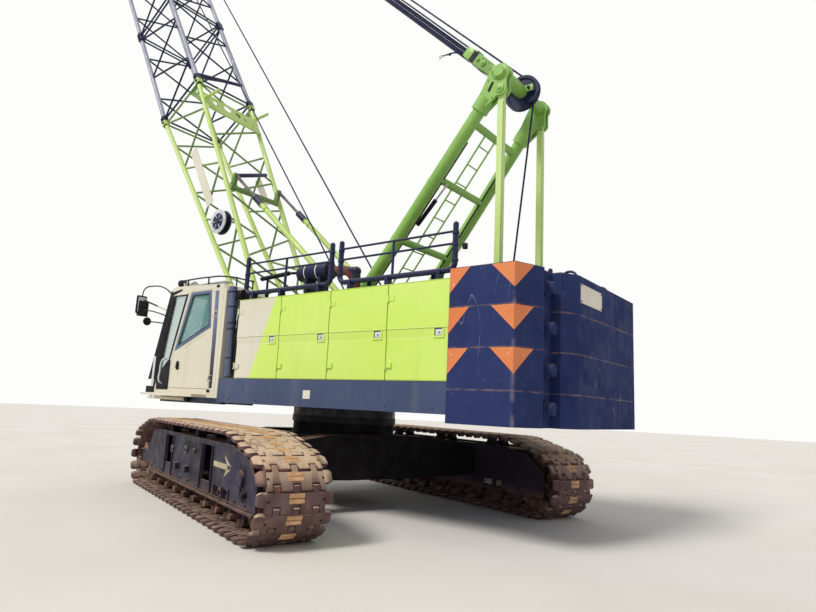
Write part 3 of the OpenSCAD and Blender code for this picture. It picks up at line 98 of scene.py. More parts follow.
def only(piece):
    """Selects one piece and makes it active"""
    deselect()
    piece.select_set(True)
    bpy.context.view_layer.objects.active = piece


def settle(name):
    """Names the active primitive and puts its place into its mesh"""
    piece = bpy.context.view_layer.objects.active
    bpy.ops.object.transform_apply(location=True, rotation=True, scale=True)
    piece.name = name
    piece.data.name = name
    return piece


def edit(piece, kind="FACE"):
    only(piece)
    bpy.ops.object.mode_set(mode="EDIT")
    bpy.ops.mesh.select_mode(type=kind)
    bpy.ops.mesh.select_all(action="DESELECT")


def done():
    bpy.ops.object.mode_set(mode="OBJECT")


def pick_faces(piece, test):
    """Selects the faces whose centre and normal pass the test"""
    shape = bmesh.from_edit_mesh(piece.data)
    for face in shape.faces:
        face.select_set(bool(test(face.calc_center_median(), face.normal)))
    bmesh.update_edit_mesh(piece.data)


def cut(axis, places):
    """Cuts the whole piece in edit mode by planes square to an axis"""
    normal = [float(k == axis) for k in range(3)]
    for place in places:
        bpy.ops.mesh.select_all(action="SELECT")
        bpy.ops.mesh.bisect(plane_co=[place * n for n in normal], plane_no=normal)
    bpy.ops.mesh.select_all(action="DESELECT")


def extrude(by):
    bpy.ops.mesh.extrude_region_move(TRANSFORM_OT_translate={"value": by})


def modify(piece, kind, **settings):
    """Adds a modifier and applies it"""
    only(piece)
    modifier = piece.modifiers.new(kind.title(), kind)
    for key, value in settings.items():
        setattr(modifier, key, value)
    bpy.ops.object.modifier_apply(modifier=modifier.name)
    return piece


def rounded(piece, width, segments=2, angle=30):
    return modify(piece, "BEVEL", width=width, segments=segments, limit_method="ANGLE",
                  angle_limit=math.radians(angle))


def smooth(piece, angle=35):
    only(piece)
    bpy.ops.object.shade_smooth_by_angle(angle=math.radians(angle))
    return piece


def block(name, low, high, bevel=0.0, segments=2):
    """A box with its edges rounded"""
    deselect()
    low, high = Vector(low), Vector(high)
    bpy.ops.mesh.primitive_cube_add(size=1, location=(low + high) / 2, scale=high - low)
    piece = settle(name)
    return smooth(rounded(piece, bevel, segments)) if bevel else piece


def rod(name, a, b, radius, sides=16, bevel=0.0, top=None):
    """A round bar or cone between two points"""
    deselect()
    a, b = Vector(a), Vector(b)
    turn = (b - a).to_track_quat("Z", "Y").to_euler()
    place = {"vertices": sides, "depth": (b - a).length, "location": (a + b) / 2, "rotation": turn}
    if top is None:
        bpy.ops.mesh.primitive_cylinder_add(radius=radius, **place)
    else:
        bpy.ops.mesh.primitive_cone_add(radius1=radius, radius2=top, **place)
    piece = settle(name)
    if bevel:
        rounded(piece, bevel, 2, 50)
    return smooth(piece)


def pipe(name, points, radius, sides=10):
    """A tube along a smooth curve through points"""
    deselect()
    curve = bpy.data.curves.new(name, "CURVE")
    curve.dimensions = "3D"
    curve.bevel_depth = radius
    curve.bevel_resolution = max(sides // 4 - 1, 0)
    curve.use_fill_caps = True
    curve.resolution_u = 6
    line = curve.splines.new("BEZIER")
    line.bezier_points.add(len(points) - 1)
    for spot, place in zip(line.bezier_points, points):
        spot.co = place
        spot.handle_left_type = spot.handle_right_type = "AUTO"
    piece = bpy.data.objects.new(name, curve)
    bpy.context.scene.collection.objects.link(piece)
    only(piece)
    bpy.ops.object.convert(target="MESH")
    return smooth(settle(name), 60)


def plate(name, corners, thick, bevel=0.0):
    """A flat convex plate on corners given in order, thickened along their normal"""
    deselect()
    corners = [Vector(c) for c in corners]
    centre = sum(corners, Vector()) / len(corners)
    normal = (corners[1] - corners[0]).cross(corners[2] - corners[1]).normalized()
    reach = 3 * max((c - centre).length for c in corners)
    turn = normal.to_track_quat("Z", "Y").to_euler()
    bpy.ops.mesh.primitive_plane_add(size=reach, location=centre, rotation=turn)
    piece = settle(name)
    edit(piece)
    for a, b in zip(corners, corners[1:] + corners[:1]):
        bpy.ops.mesh.select_all(action="SELECT")
        bpy.ops.mesh.bisect(plane_co=a, plane_no=(b - a).cross(normal), clear_outer=True)
    bpy.ops.mesh.select_all(action="SELECT")
    extrude(normal * thick)
    bpy.ops.mesh.select_all(action="SELECT")
    bpy.ops.mesh.normals_make_consistent(inside=False)
    done()
    return smooth(rounded(piece, bevel)) if bevel else piece


def copy_of(piece, matrix):
    """Another piece with its own mesh, its place put into that mesh"""
    twin = piece.copy()
    twin.data = piece.data.copy()
    bpy.context.scene.collection.objects.link(twin)
    twin.data.transform(matrix)
    return twin


def joined(name, parts):
    only(parts[0])
    for part in parts:
        part.select_set(True)
    bpy.ops.object.join()
    piece = bpy.context.view_layer.objects.active
    piece.name = name
    piece.data.name = name
    return piece


def turned(z_angle, offset=(0, 0, 0)):
    return Matrix.Rotation(z_angle, 4, "Z") @ Matrix.Translation(offset)


def on_boom(s, y, n):
    """A point given along the boom, across it and out from its centre line"""
    return BOOM_FOOT + BOOM_UP * s + BOOM_OUT * n + Vector((0, y, 0))


# Finishes
def tint(red, green, blue):
    """A colour given on the 0 to 255 scale of paint charts"""
    parts = [c / 255 for c in (red, green, blue)]
    return [c / 12.92 if c <= 0.04045 else ((c + 0.055) / 1.055) ** 2.4 for c in parts] + [1.0]


class Finish:
    """A procedural finish on object coordinates"""

    def __init__(self, name, colour, rough):
        self.material = bpy.data.materials.new(name)
        self.material.use_nodes = True
        self.nodes = self.material.node_tree.nodes
        self.links = self.material.node_tree.links
        self.shader = self.nodes["Principled BSDF"]
        self.shader.inputs["Roughness"].default_value = rough
        self.place = self.node("ShaderNodeTexCoord").outputs["Object"]
        self.colour = tint(*colour)

    def node(self, kind, **settings):
        made = self.nodes.new(kind)
        for key, value in settings.items():
            setattr(made, key, value)
        return made

    def feed(self, socket, value):
        if isinstance(value, bpy.types.NodeSocket):
            self.links.new(value, socket)
        else:
            socket.default_value = value

    def sum(self, operation, a, b=0.0, clamp=False):
        made = self.node("ShaderNodeMath", operation=operation, use_clamp=clamp)
        self.feed(made.inputs[0], a)
        self.feed(made.inputs[1], b)
        return made.outputs[0]

    def times(self, a, b, clamp=False):
        return self.sum("MULTIPLY", a, b, clamp)

    def off(self, value, place):
        """How far a value is from a place, either way"""
        return self.sum("ABSOLUTE", self.sum("SUBTRACT", value, place))

    def between(self, value, low, high, start=0.0, end=1.0):
        """Takes value from low-high to start-end, held at both ends"""
        made = self.node("ShaderNodeMapRange")
        for key, v in zip(("Value", "From Min", "From Max", "To Min", "To Max"),
                          (value, low, high, start, end)):
            self.feed(made.inputs[key], v)
        return made.outputs["Result"]

    def noise(self, scale, detail=4.0, stretch=(1, 1, 1), shift=0.0):
        mapping = self.node("ShaderNodeMapping")
        self.links.new(self.place, mapping.inputs["Vector"])
        mapping.inputs["Scale"].default_value = stretch
        mapping.inputs["Location"].default_value = (shift, shift, shift)
        made = self.node("ShaderNodeTexNoise")
        made.inputs["Scale"].default_value = scale
        made.inputs["Detail"].default_value = detail
        self.links.new(mapping.outputs[0], made.inputs["Vector"])
        return made.outputs["Fac"]

    def over(self, colour, mask):
        """Lays a colour over what is there, where the mask is 1"""
        made = self.node("ShaderNodeMix", data_type="RGBA")
        self.feed(made.inputs[0], mask)
        self.feed(made.inputs[6], self.colour)
        self.feed(made.inputs[7], tint(*colour) if isinstance(colour, tuple) else colour)
        self.colour = made.outputs[2]

    def axis(self, name):
        split = self.node("ShaderNodeSeparateXYZ")
        self.links.new(self.place, split.inputs[0])
        return split.outputs[name]

    def facing_up(self, low=0.2, high=0.9):
        split = self.node("ShaderNodeSeparateXYZ")
        self.links.new(self.node("ShaderNodeNewGeometry").outputs["Normal"], split.inputs[0])
        return self.between(split.outputs["Z"], low, high)

    def patchy(self, scale, low, high, detail=5.0, stretch=(1, 1, 1), shift=0.0):
        """A mask of patches: the noise between low and high"""
        return self.between(self.noise(scale, detail, stretch, shift), low, high)

    def grain(self, scale, strength, distance=0.002):
        """Fine bumps, a distance high"""
        bump = self.node("ShaderNodeBump")
        bump.inputs["Strength"].default_value = strength
        bump.inputs["Distance"].default_value = distance
        self.links.new(self.noise(scale, 5.0), bump.inputs["Height"])
        self.links.new(bump.outputs[0], self.shader.inputs["Normal"])

    def uneven(self, scale, low, high):
        """Roughness from low to high in patches"""
        self.links.new(self.between(self.noise(scale, 3.0), 0.35, 0.65, low, high),
                       self.shader.inputs["Roughness"])

    def finish(self):
        self.feed(self.shader.inputs["Base Color"], self.colour)
        return self.material


DUST = (214, 176, 140)
EARTH = (150, 112, 88)
RUST = (122, 66, 42)


def painted(name, colour, faded, rough=0.42, dust=0.35, splash=0.0, chips=0.7, chip=(70, 60, 55),
            streak=None, shine=0.5):
    """Weathered machine paint: fading, fine mottle, runs, dust on top, earth low down, and chips"""
    paint = Finish(name, colour, rough)
    paint.shader.inputs["Specular IOR Level"].default_value = shine
    paint.over(faded, paint.patchy(0.9, 0.35, 0.7))
    paint.over(faded, paint.between(paint.noise(14, 6.0), 0.42, 0.75, 0.0, 0.35))
    if streak:
        runs = paint.patchy(5.0, 0.56, 0.78, 4.0, (1, 1, 0.07), 3.1)
        paint.over(streak, paint.times(runs, 0.5))
    if dust:
        lying = paint.times(paint.facing_up(), paint.between(paint.noise(3.0), 0.3, 0.7, 0.45, 1.0))
        paint.over(DUST, paint.times(lying, dust, True))
    if splash:
        low = paint.between(paint.axis("Z"), splash, 0.1)
        paint.over(EARTH, paint.times(low, paint.between(paint.noise(4.0), 0.3, 0.62), True))
    if chips:
        paint.over(chip, paint.patchy(34, chips, chips + 0.04, 8.0, shift=7.7))
    paint.uneven(6.0, max(rough - 0.1, 0.1), rough + 0.18)
    paint.grain(60, 0.12)
    return paint


LIME = (204, 234, 98)
LIME_FADED = (212, 238, 122)
BEIGE = (216, 211, 190)


def painted_light_lines(paint, shade, light):
    """Painted shade under the pressed step of the side panels and along their foot, and painted highlight
    just above the step and along the crease below it
    """
    height = paint.axis("Z")
    lines = ((2.284, 0.007, shade, 0.75), (2.297, 0.006, light, 0.5),
             (2.18, 0.005, light, 0.6), (1.70, 0.012, shade, 0.4))
    for z, width, colour, share in lines:
        paint.over(colour, paint.between(paint.off(height, z), width, width * 0.5, 0.0, share))
    return paint


def lime_finish():
    paint = painted("lime_paint", LIME, LIME_FADED, chips=0.74, chip=(150, 170, 90), streak=(192, 222, 104))
    # Painted shade and painted highlight lines along the panels' pressed step and crease
    return painted_light_lines(paint, (128, 156, 52), (230, 246, 170)).finish()


lime_paint = lime_finish()
cab_paint = painted("cab_paint", BEIGE, (224, 220, 202), chips=0.74, chip=(150, 140, 120),
                    streak=(205, 196, 170)).finish()


def deck_finish():
    """Blue deck, with painted shade in near-black on all that lies beneath it"""
    paint = painted("deck_paint", (52, 66, 102), (66, 80, 114), dust=0.4, chips=0.7, chip=(120, 120, 130),
                    streak=(112, 112, 122), shine=0.4)
    edge = DECK_Z - 0.005
    # Painted shade: near-black below the deck's lower edge
    paint.over((16, 13, 18), paint.between(paint.axis("Z"), edge, edge - 0.015, 0.0, 0.92))
    return paint.finish()


deck_paint = deck_finish()
gantry_paint = painted("gantry_paint", (122, 170, 74), (150, 196, 98), dust=0.12, chips=0.7,
                       chip=(90, 76, 60)).finish()
link_paint = painted("link_paint", (186, 216, 124), (204, 228, 154), dust=0.15, chips=0.68,
                     chip=(120, 90, 60)).finish()
boom_lime = painted("boom_lime", (176, 206, 98), (198, 220, 134), dust=0.1, chips=0.7,
                    chip=(120, 100, 70)).finish()


def along(paint, foot, angle):
    """How far out, and how far square to it, a point lies from a foot along a line that rises at an angle"""
    x = paint.sum("SUBTRACT", paint.axis("X"), foot.x)
    z = paint.sum("SUBTRACT", paint.axis("Z"), foot.z)
    c, s = math.cos(angle), math.sin(angle)
    out = paint.sum("ADD", paint.times(x, c), paint.times(z, s))
    return out, paint.sum("SUBTRACT", paint.times(z, c), paint.times(x, s))


def truss_finish(name, half, outer, inner):
    """Pale chords, and lacing in the same green darkened in patches as painted shade; each pair gives a size
    at the boom's foot and its growth per metre
    """
    paint = painted(name, (188, 216, 104), (206, 228, 146), dust=0.1, chips=0.7, chip=(120, 100, 70))
    s, n = along(paint, BOOM_FOOT, BOOM_ANGLE)

    def from_line(value, line):
        return paint.off(value, paint.sum("ADD", paint.times(s, line[1]), line[0]))

    sideways = from_line(paint.sum("ABSOLUTE", paint.axis("Y")), half)
    nearest = paint.sum("MINIMUM", from_line(n, outer), from_line(n, inner))
    lacing = paint.between(paint.sum("MAXIMUM", sideways, nearest), 0.055, 0.075)
    lacing = paint.times(lacing, paint.between(n, 0.60, 0.58))
    # Painted shade: the lacing darkened in patches, all but the fittings beyond 0.6 m out
    paint.over((96, 132, 66), paint.times(lacing, paint.between(paint.noise(2.0), 0.2, 0.6, 0.6, 0.95)))
    return paint.finish()


half_line = (FOOT_HALF_Y, (CHORD_Y - FOOT_HALF_Y) / BASE_LEN)
outer_line = (FOOT_OUT, (CHORD_OUT - FOOT_OUT) / BASE_LEN)
inner_line = (-FOOT_OUT, (CHORD_IN + FOOT_OUT) / BASE_LEN)
base_truss = truss_finish("base_truss_paint", half_line, outer_line, inner_line)
navy_paint = painted("navy_paint", (20, 26, 62), (32, 40, 78), dust=0.12, chips=0.7, chip=(96, 88, 84),
                     shine=0.25).finish()
rail_paint = painted("rail_paint", (16, 24, 60), (28, 38, 78), rough=0.36, dust=0.12, chips=0.72,
                     chip=(110, 104, 100), shine=0.3).finish()
chord_grey = painted("chord_grey", (140, 146, 166), (166, 170, 186), dust=0.1, chips=0.68,
                     chip=(110, 84, 70)).finish()
frame_paint = painted("frame_paint", (30, 25, 38), (50, 46, 64), rough=0.6, dust=0.5, splash=0.4, chips=0.68,
                      chip=(110, 84, 66), shine=0.25).finish()
slate_paint = painted("slate_paint", (30, 34, 54), (46, 50, 72), rough=0.5, dust=0.3, chips=0.7,
                      chip=(90, 80, 76), shine=0.25).finish()
bare_steel = painted("bare_steel", (70, 66, 72), (94, 90, 94), rough=0.45, dust=0.15, chips=0.62,
                     chip=RUST).finish()
rope_steel = painted("rope_steel", (16, 18, 56), (28, 30, 70), rough=0.5, dust=0.0, chips=0,
                     shine=0.25).finish()
black_trim = painted("black_trim", (12, 11, 18), (24, 23, 32), rough=0.6, dust=0.1, chips=0,
                     shine=0.25).finish()


def scratched(paint, colour):
    """Thin pale scratches that run mostly up and down"""
    line = paint.between(paint.off(paint.noise(3.2, 1.5, (1, 1, 0.22), 4.3), 0.5), 0.0035, 0.001, 0.0, 0.7)
    paint.over(colour, paint.times(line, paint.patchy(2.6, 0.52, 0.6, 3.0, shift=9.0)))
    return paint


# Counterweight: top of the bottom slab, half a slab's height, and where the rear corners are cut off
BOTTOM_SLAB_TOP = 1.61
HALF_SLAB = 0.2217
CORNER_X = -3.607


def weight_finish():
    """Slate blue paint on the castings, rusty along their seams, worn at the corners and scratched"""
    paint = painted("weight_paint", (34, 45, 90), (48, 59, 104), rough=0.78, dust=0.15, chips=0.69,
                    chip=(96, 94, 112), streak=(50, 60, 100), shine=0.15)
    layer = paint.sum("PINGPONG", paint.sum("SUBTRACT", paint.axis("Z"), BOTTOM_SLAB_TOP), HALF_SLAB)
    seam = paint.between(layer, 0.014, 0.002)
    below = paint.between(paint.axis("Z"), BOTTOM_SLAB_TOP - 0.04, BOTTOM_SLAB_TOP)
    seam = paint.times(seam, below)
    rust = paint.between(paint.noise(9.0), 0.38, 0.6, 0.1, 0.9)
    paint.over((126, 104, 104), paint.times(seam, rust, True))
    for y in (WEIGHT_SIDE, -WEIGHT_SIDE):
        off = paint.sum("ADD", paint.off(paint.axis("X"), CORNER_X), paint.off(paint.axis("Y"), y))
        near = paint.between(off, 0.045, 0.0, 0.0, 0.8)
        paint.over((132, 124, 138), paint.times(near, paint.between(paint.noise(5.0, 6.0), 0.4, 0.62)))
    return scratched(paint, (138, 138, 160)).finish()


def glazing(name, colour, cover):
    """Tinted glass; cover is the share of light that it keeps back"""
    pane = Finish(name, colour, 0.06)
    pane.shader.inputs["Alpha"].default_value = cover
    pane.shader.inputs["IOR"].default_value = 1.5
    pane.over((150, 190, 184), pane.between(pane.noise(2.0), 0.45, 0.8, 0.0, 0.5))
    pane.material.use_backface_culling = False
    return pane.finish()


def shoe_finish():
    """Cast shoes: rusty brown faces, dry earth on what faces up and in patches"""
    cast = Finish("shoe_casting", (88, 62, 60), 0.75)
    cast.over((112, 88, 90), cast.patchy(5.0, 0.4, 0.65))
    cast.over((150, 92, 62), cast.patchy(11.0, 0.62, 0.76, shift=2.0))
    lying = cast.times(cast.facing_up(0.25, 0.8), cast.between(cast.noise(7.0), 0.28, 0.55, 0.55, 1.0), True)
    cast.over((210, 180, 152), lying)
    cast.over((160, 122, 100), cast.patchy(3.0, 0.6, 0.8, shift=5.0))
    low = cast.between(cast.axis("Z"), 0.3, 0.12)
    cast.over((74, 50, 46), cast.times(low, cast.between(cast.noise(13.0), 0.3, 0.6, 0.35, 0.95)))
    cast.grain(45, 0.5, 0.006)
    return cast.finish()


def pad_finish():
    worn = Finish("shoe_pad_wear", (196, 146, 100), 0.6)
    worn.over((226, 184, 140), worn.patchy(9.0, 0.4, 0.7))
    worn.over((120, 84, 66), worn.patchy(30.0, 0.62, 0.7))
    worn.grain(60, 0.3, 0.003)
    return worn.finish()


def wheel_finish():
    cast = Finish("wheel_casting", (96, 62, 48), 0.7)
    cast.over((60, 46, 44), cast.patchy(4.0, 0.4, 0.62))
    cast.over((170, 128, 96), cast.patchy(9.0, 0.52, 0.7, shift=1.0))
    cast.grain(40, 0.5, 0.005)
    return cast.finish()


weight_paint = weight_finish()
cab_glazing = glazing("cab_glazing", (150, 200, 188), 0.2)
door_glazing = glazing("door_glazing", (84, 148, 148), 0.55)
shoe_casting = shoe_finish()
shoe_pad_wear = pad_finish()
wheel_casting = wheel_finish()


def front_panel_finish():
    """The front door: beige ahead of a slanted edge, lime behind it"""
    paint = painted("front_panel_paint", BEIGE, (224, 220, 204), chips=0.74, chip=(150, 140, 120),
                    streak=(206, 200, 178))
    beige = paint.colour
    edge = paint.sum("ADD", paint.axis("X"), paint.times(paint.axis("Z"), 0.423))
    ahead = paint.between(edge, 1.2816, 1.2856)
    paint.colour = tint(*LIME)
    paint.over(LIME_FADED, paint.patchy(0.9, 0.35, 0.7))
    paint.over(beige, ahead)
    # Painted shade and painted highlight lines along the panels' pressed step and crease
    return painted_light_lines(paint, (150, 150, 92), (242, 244, 206)).finish()


front_panel_paint = front_panel_finish()

seat_cloth = painted("seat_cloth", (34, 36, 48), (52, 54, 66), rough=0.9, dust=0.3, chips=0).finish()
engine_paint = painted("engine_paint", (120, 122, 120), (90, 92, 92), dust=0.5, chips=0.66,
                       chip=RUST).finish()
orange_mark = painted("orange_mark", (218, 108, 48), (224, 138, 86), rough=0.5, dust=0.2, chips=0.66,
                      chip=(240, 214, 190), streak=(200, 120, 80)).finish()
blank_plate = painted("blank_plate", (240, 238, 230), (226, 216, 200), rough=0.5, dust=0.1, chips=0.68,
                      chip=(150, 120, 90)).finish()
latch_plate = painted("latch_plate", (214, 216, 222), (196, 198, 206), rough=0.35, dust=0.1,
                      chips=0).finish()
grip_steel = painted("grip_steel", (150, 158, 186), (176, 184, 206), rough=0.4, dust=0.1, chips=0).finish()
rusty_pipe = painted("rusty_pipe", (96, 50, 52), (128, 76, 66), rough=0.85, dust=0.1, chips=0.6,
                     chip=(84, 46, 40)).finish()
# Painted shade: near-black paint on the car body for the shade it lies in under the deck; the dust and earth
# on it are real dirt
shade_paint = painted("shade_paint", (12, 9, 12), (22, 18, 22), rough=0.7, dust=0.25, splash=0.3, chips=0,
                      shine=0.2).finish()
# Painted shade: the slewing ring's steel, darkened to near-black for the shade it lies in under the deck
dark_shaded_steel = painted("dark_shaded_steel", (18, 15, 20), (30, 26, 30), rough=0.5, dust=0.2, chips=0,
                     shine=0.25).finish()
slate_glass = painted("window_band", (74, 94, 128), (92, 112, 142), rough=0.35, dust=0.05, chips=0).finish()
clear_pipe = painted("duct_plastic", (66, 76, 110), (90, 100, 132), rough=0.45, dust=0.15, chips=0).finish()


def stay_paint():
    """Green spreaders with dark ropes between them and dark pendants beyond"""
    paint = painted("stay_paint", (108, 152, 66), (138, 182, 88), dust=0.1, chips=0.7, chip=(90, 76, 60))
    out = along(paint, SPREADER_PIN, STAY_ANGLE)[0]
    between = paint.times(paint.between(out, 0.92, 0.93), paint.between(out, 8.03, 8.02))
    beyond = paint.between(out, 8.78, 8.79)
    paint.over((24, 26, 60), paint.sum("ADD", between, beyond, True))
    return paint.finish()


def cab_shell_paint():
    """Beige cab with a near-black upper front, where the mirrors stand"""
    paint = painted("cab_shell_paint", BEIGE, (224, 220, 202), chips=0.74, chip=(150, 140, 120),
                    streak=(200, 194, 172))
    front = paint.between(paint.axis("X"), 3.04, 3.05)
    paint.over((18, 17, 24), paint.times(front, paint.between(paint.axis("Z"), 2.3, 2.31)))
    return paint.finish()


stay_finish = stay_paint()
shell_paint = cab_shell_paint()

NODE_FINISH = {
    lime_paint: "house_left house_right left_door_2 left_door_3 left_door_4 right_door_2 right_door_3",
    front_panel_paint: "left_door_1 right_door_1",
    base_truss: "boom_base",
    boom_lime: "boom_top hook_block backstop_tubes",
    gantry_paint: "gantry_legs gantry_head",
    stay_finish: "lower_spreader upper_spreader",
    link_paint: "gantry_links",
    cab_paint: "cab_door boom_fittings",
    shell_paint: "cab_shell",
    deck_paint: "revolving_frame",
    slate_paint: "winch_stands exhaust_unit",
    rail_paint: "handrails gantry_sheave",
    navy_paint: "front_winch rear_winch boom_winch boom_insert boom_long_insert head_sheaves",
    frame_paint: "track_frames rollers",
    shade_paint: "car_body",
    weight_paint: "counterweight_1 counterweight_2 counterweight_3 counterweight_4",
    wheel_casting: "sprockets idlers",
    shoe_casting: "track_left track_right",
    dark_shaded_steel: "slewing_ring",
    bare_steel: "backstop_rods",
    rope_steel: "hook_falls",
    engine_paint: "engine_block",
    seat_cloth: "cab_seat",
    cab_glazing: "cab_glass",
    door_glazing: "cab_door_glass",
}
for finish, names in NODE_FINISH.items():
    for name in names.split():
        NODES[name].data.materials.clear()
        NODES[name].data.materials.append(finish)


class Kit(list):
    """The parts of one piece, in order"""

    def add(self, part, finish=None):
        """Takes in a part, with a finish of its own if one is given"""
        if finish:
            part.data.materials.append(finish)
        self.append(part)


def gather(name, parts, finish, body):
    """Joins the parts of one piece, which rides on its body if one is named; a part keeps its own finish"""
    for part in parts:
        if not part.data.materials:
            part.data.materials.append(finish)
    piece = joined(name, parts)
    if body:
        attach(piece, body)
    return piece


# Track shoes: a cast plate whose three fingers lie between the next shoe's four, two pads, two rounded ends
PITCH_R = END_R - SHOE_T / 2
BEND_IN = (WHEEL_BASE - TOP_RUN) / 2
BEND_DOWN = BEND_R - (TRACK_H - SHOE_T / 2 - END_R)
SLOPE = math.atan2(BEND_IN, BEND_DOWN) - math.acos((BEND_R - PITCH_R) / math.hypot(BEND_IN, BEND_DOWN))
SLOPE_LEN = math.sqrt(BEND_IN ** 2 + BEND_DOWN ** 2 - (BEND_R - PITCH_R) ** 2)
RISE = [(SLOPE_LEN, 0.0), (BEND_R * SLOPE, SLOPE)]
END = (PITCH_R * (math.pi - SLOPE), math.pi - SLOPE)
LOOP_PIECES = [(WHEEL_BASE, 0.0), END, *RISE, (TOP_RUN, 0.0), *RISE[::-1], END]
SHOE_PITCH = sum(length for length, _ in LOOP_PIECES) / SHOE_COUNT
BODY_HALF_W = 0.305
FINGERS = (-0.205, 0.0, 0.205)
FINGER_HALF = 0.034
SLOT_PLAY = 0.007
PLATE_TOP = SHOE_T / 2 - 0.005


def track_shoe():
    edge = SHOE_PITCH / 2 - 0.04
    piece = block("shoe", (-edge, -BODY_HALF_W, -SHOE_T / 2), (edge, BODY_HALF_W, PLATE_TOP))
    edit(piece)
    wide = FINGER_HALF + SLOT_PLAY
    cut(1, [y + d for y in FINGERS for d in (-wide, -FINGER_HALF, FINGER_HALF, wide)])

    def near(y, reach):
        return any(abs(y - f) < reach for f in FINGERS)

    pick_faces(piece, lambda c, n: n.x < -0.9 and near(c.y, FINGER_HALF))
    extrude((-0.072, 0, 0))
    pick_faces(piece, lambda c, n: n.x > 0.9 and not near(c.y, wide))
    extrude((0.072, 0, 0))
    done()
    rounded(piece, 0.012, 2, 50)
    ends = Kit()
    for side in SIDES:
        end = block("shoe_end", (-0.072, side * 0.3 - 0.002, -SHOE_T / 2),
                    (0.062, side * 0.3 + 0.002, PLATE_TOP - 0.004))
        edit(end)
        pick_faces(end, lambda c, n: n.y * side > 0.9)
        extrude((0, side * 0.06, 0))
        extrude((0, side * (SHOE_W / 2 - 0.362), 0))
        bpy.ops.transform.resize(value=(0.72, 1, 0.62), center_override=(-0.005, side * SHOE_W / 2, -0.006))
        done()
        ends.append(rounded(end, 0.014, 2, 20))
        # Painted shade: a short black rod for the shade in the hole near each end of the shoe
        hole_low = Vector((0.012, side * 0.29, PLATE_TOP - 0.01))
        ends.add(rod("shoe_hole", hole_low, hole_low + Vector((0, 0, 0.0115)), 0.013, 8), black_trim)
    for x in (-0.034, 0.016):
        low, high = (x - 0.021, -0.08, PLATE_TOP - 0.004), (x + 0.021, 0.08, SHOE_T / 2)
        ends.add(block("shoe_pad", low, high, 0.003, 1), shoe_pad_wear)
    lug = block("shoe_lug", (-0.045, -0.055, -SHOE_T / 2 - 0.001), (0.045, 0.055, -SHOE_T / 2 + 0.004))
    edit(lug)
    pick_faces(lug, lambda c, n: n.z < -0.9)
    extrude((0, 0, -0.044))
    bpy.ops.transform.resize(value=(0.5, 0.8, 1), center_override=(0, 0, -SHOE_T / 2 - 0.045))
    done()
    for part in (piece, *ends, lug):
        if not part.data.materials:
            part.data.materials.append(shoe_casting)
    return smooth(joined("track_shoe", [piece, *ends, lug]), 40)


def loop_place(s):
    """Place and heading of the loop's middle line at a distance s along it, from the axles' height"""
    x, z, heading = -WHEEL_BASE / 2, -PITCH_R, 0.0
    for length, turn in LOOP_PIECES:
        d = min(s, length)
        after = heading + turn * d / length
        if turn:
            r = length / turn
            x += r * (math.sin(after) - math.sin(heading))
            z += r * (math.cos(heading) - math.cos(after))
        else:
            x += d * math.cos(heading)
            z += d * math.sin(heading)
        heading = after
        s -= length
        if s <= 0:
            break
    return x, z, heading


def track_chain(name, side, pattern):
    shoes = []
    for i in range(SHOE_COUNT):
        x, z, a = loop_place((i + 0.5) * SHOE_PITCH)
        forward = (math.cos(a), 0, math.sin(a))
        outward = (math.sin(a), 0, -math.cos(a))
        place = Matrix((forward, (0, -1, 0), outward)).transposed().to_4x4()
        place.translation = (x, 0, z + END_R)
        shoes.append(copy_of(pattern, turned(TRACK_TURN, (0, side * TRACK_GAUGE / 2, 0)) @ place))
    chain = gather(name, shoes, shoe_casting, "undercarriage")
    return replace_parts(chain, "track_left" if side > 0 else "track_right")


shoe = track_shoe()
track_chain("shoes_left", 1, shoe)
track_chain("shoes_right", -1, shoe)
bpy.data.objects.remove(shoe)

# Shared small parts
def facing(corners, way):
    """Corners in the order that turns their normal to the given way"""
    a, b, c = (Vector(p) for p in corners[:3])
    return corners if (b - a).cross(c - b).dot(Vector(way)) > 0 else corners[::-1]


def side_plate(points, y, thick, way=1, bevel=0.0):
    """A thin plate on a side face, drawn in X and Z, growing to the left (way 1) or right (-1)"""
    return plate("side_plate", facing([(x, y, z) for x, z in points], (0, way, 0)), thick, bevel)


def rectangle(low, high):
    """The four corners of an upright rectangle, drawn in X and Z"""
    return [low, (high[0], low[1]), high, (low[0], high[1])]


def bolt(at, way, radius=0.018, height=0.014):
    """A six-sided bolt head on its washer"""
    at, way = Vector(at), Vector(way).normalized()
    head = rod("bolt", at, at + way * height, radius, 6)
    washer = rod("washer", at, at + way * 0.004, radius * 1.5, 12)
    return joined("bolt", [head, washer])


# Counterweight: triangles on its sides and round its left rear corner, blank plate, lifting eyes, pin caps
MARK_T = 0.0022


def triangle_marks():
    parts = Kit()
    corner = Vector((CORNER_X, WEIGHT_SIDE, 0))
    way = (Vector((-3.753, 1.08, 0)) - corner).normalized()
    out = Vector((way.y, -way.x, 0))
    start = corner + out * 0.0004
    for top in SLAB_TOPS:
        z = top - 0.006
        for side in SIDES:
            y = side * (WEIGHT_SIDE + 0.0004)
            half = [(-2.814, z), (-3.068, z), (-2.814, z - 0.28)]
            whole = [(-3.333, z), (-3.606, z), (-3.606, z - 0.265)]
            parts.add(side_plate(half, y, MARK_T, side))
            if side > 0:
                parts.add(side_plate(whole, y, MARK_T, side))
        high = start + Vector((0, 0, z))
        corners = [high, high + way * 0.262, high - Vector((0, 0, 0.265))]
        parts.add(plate("mark", facing(corners, out), MARK_T))
    return gather("warning_triangles", parts, orange_mark, "upperworks")


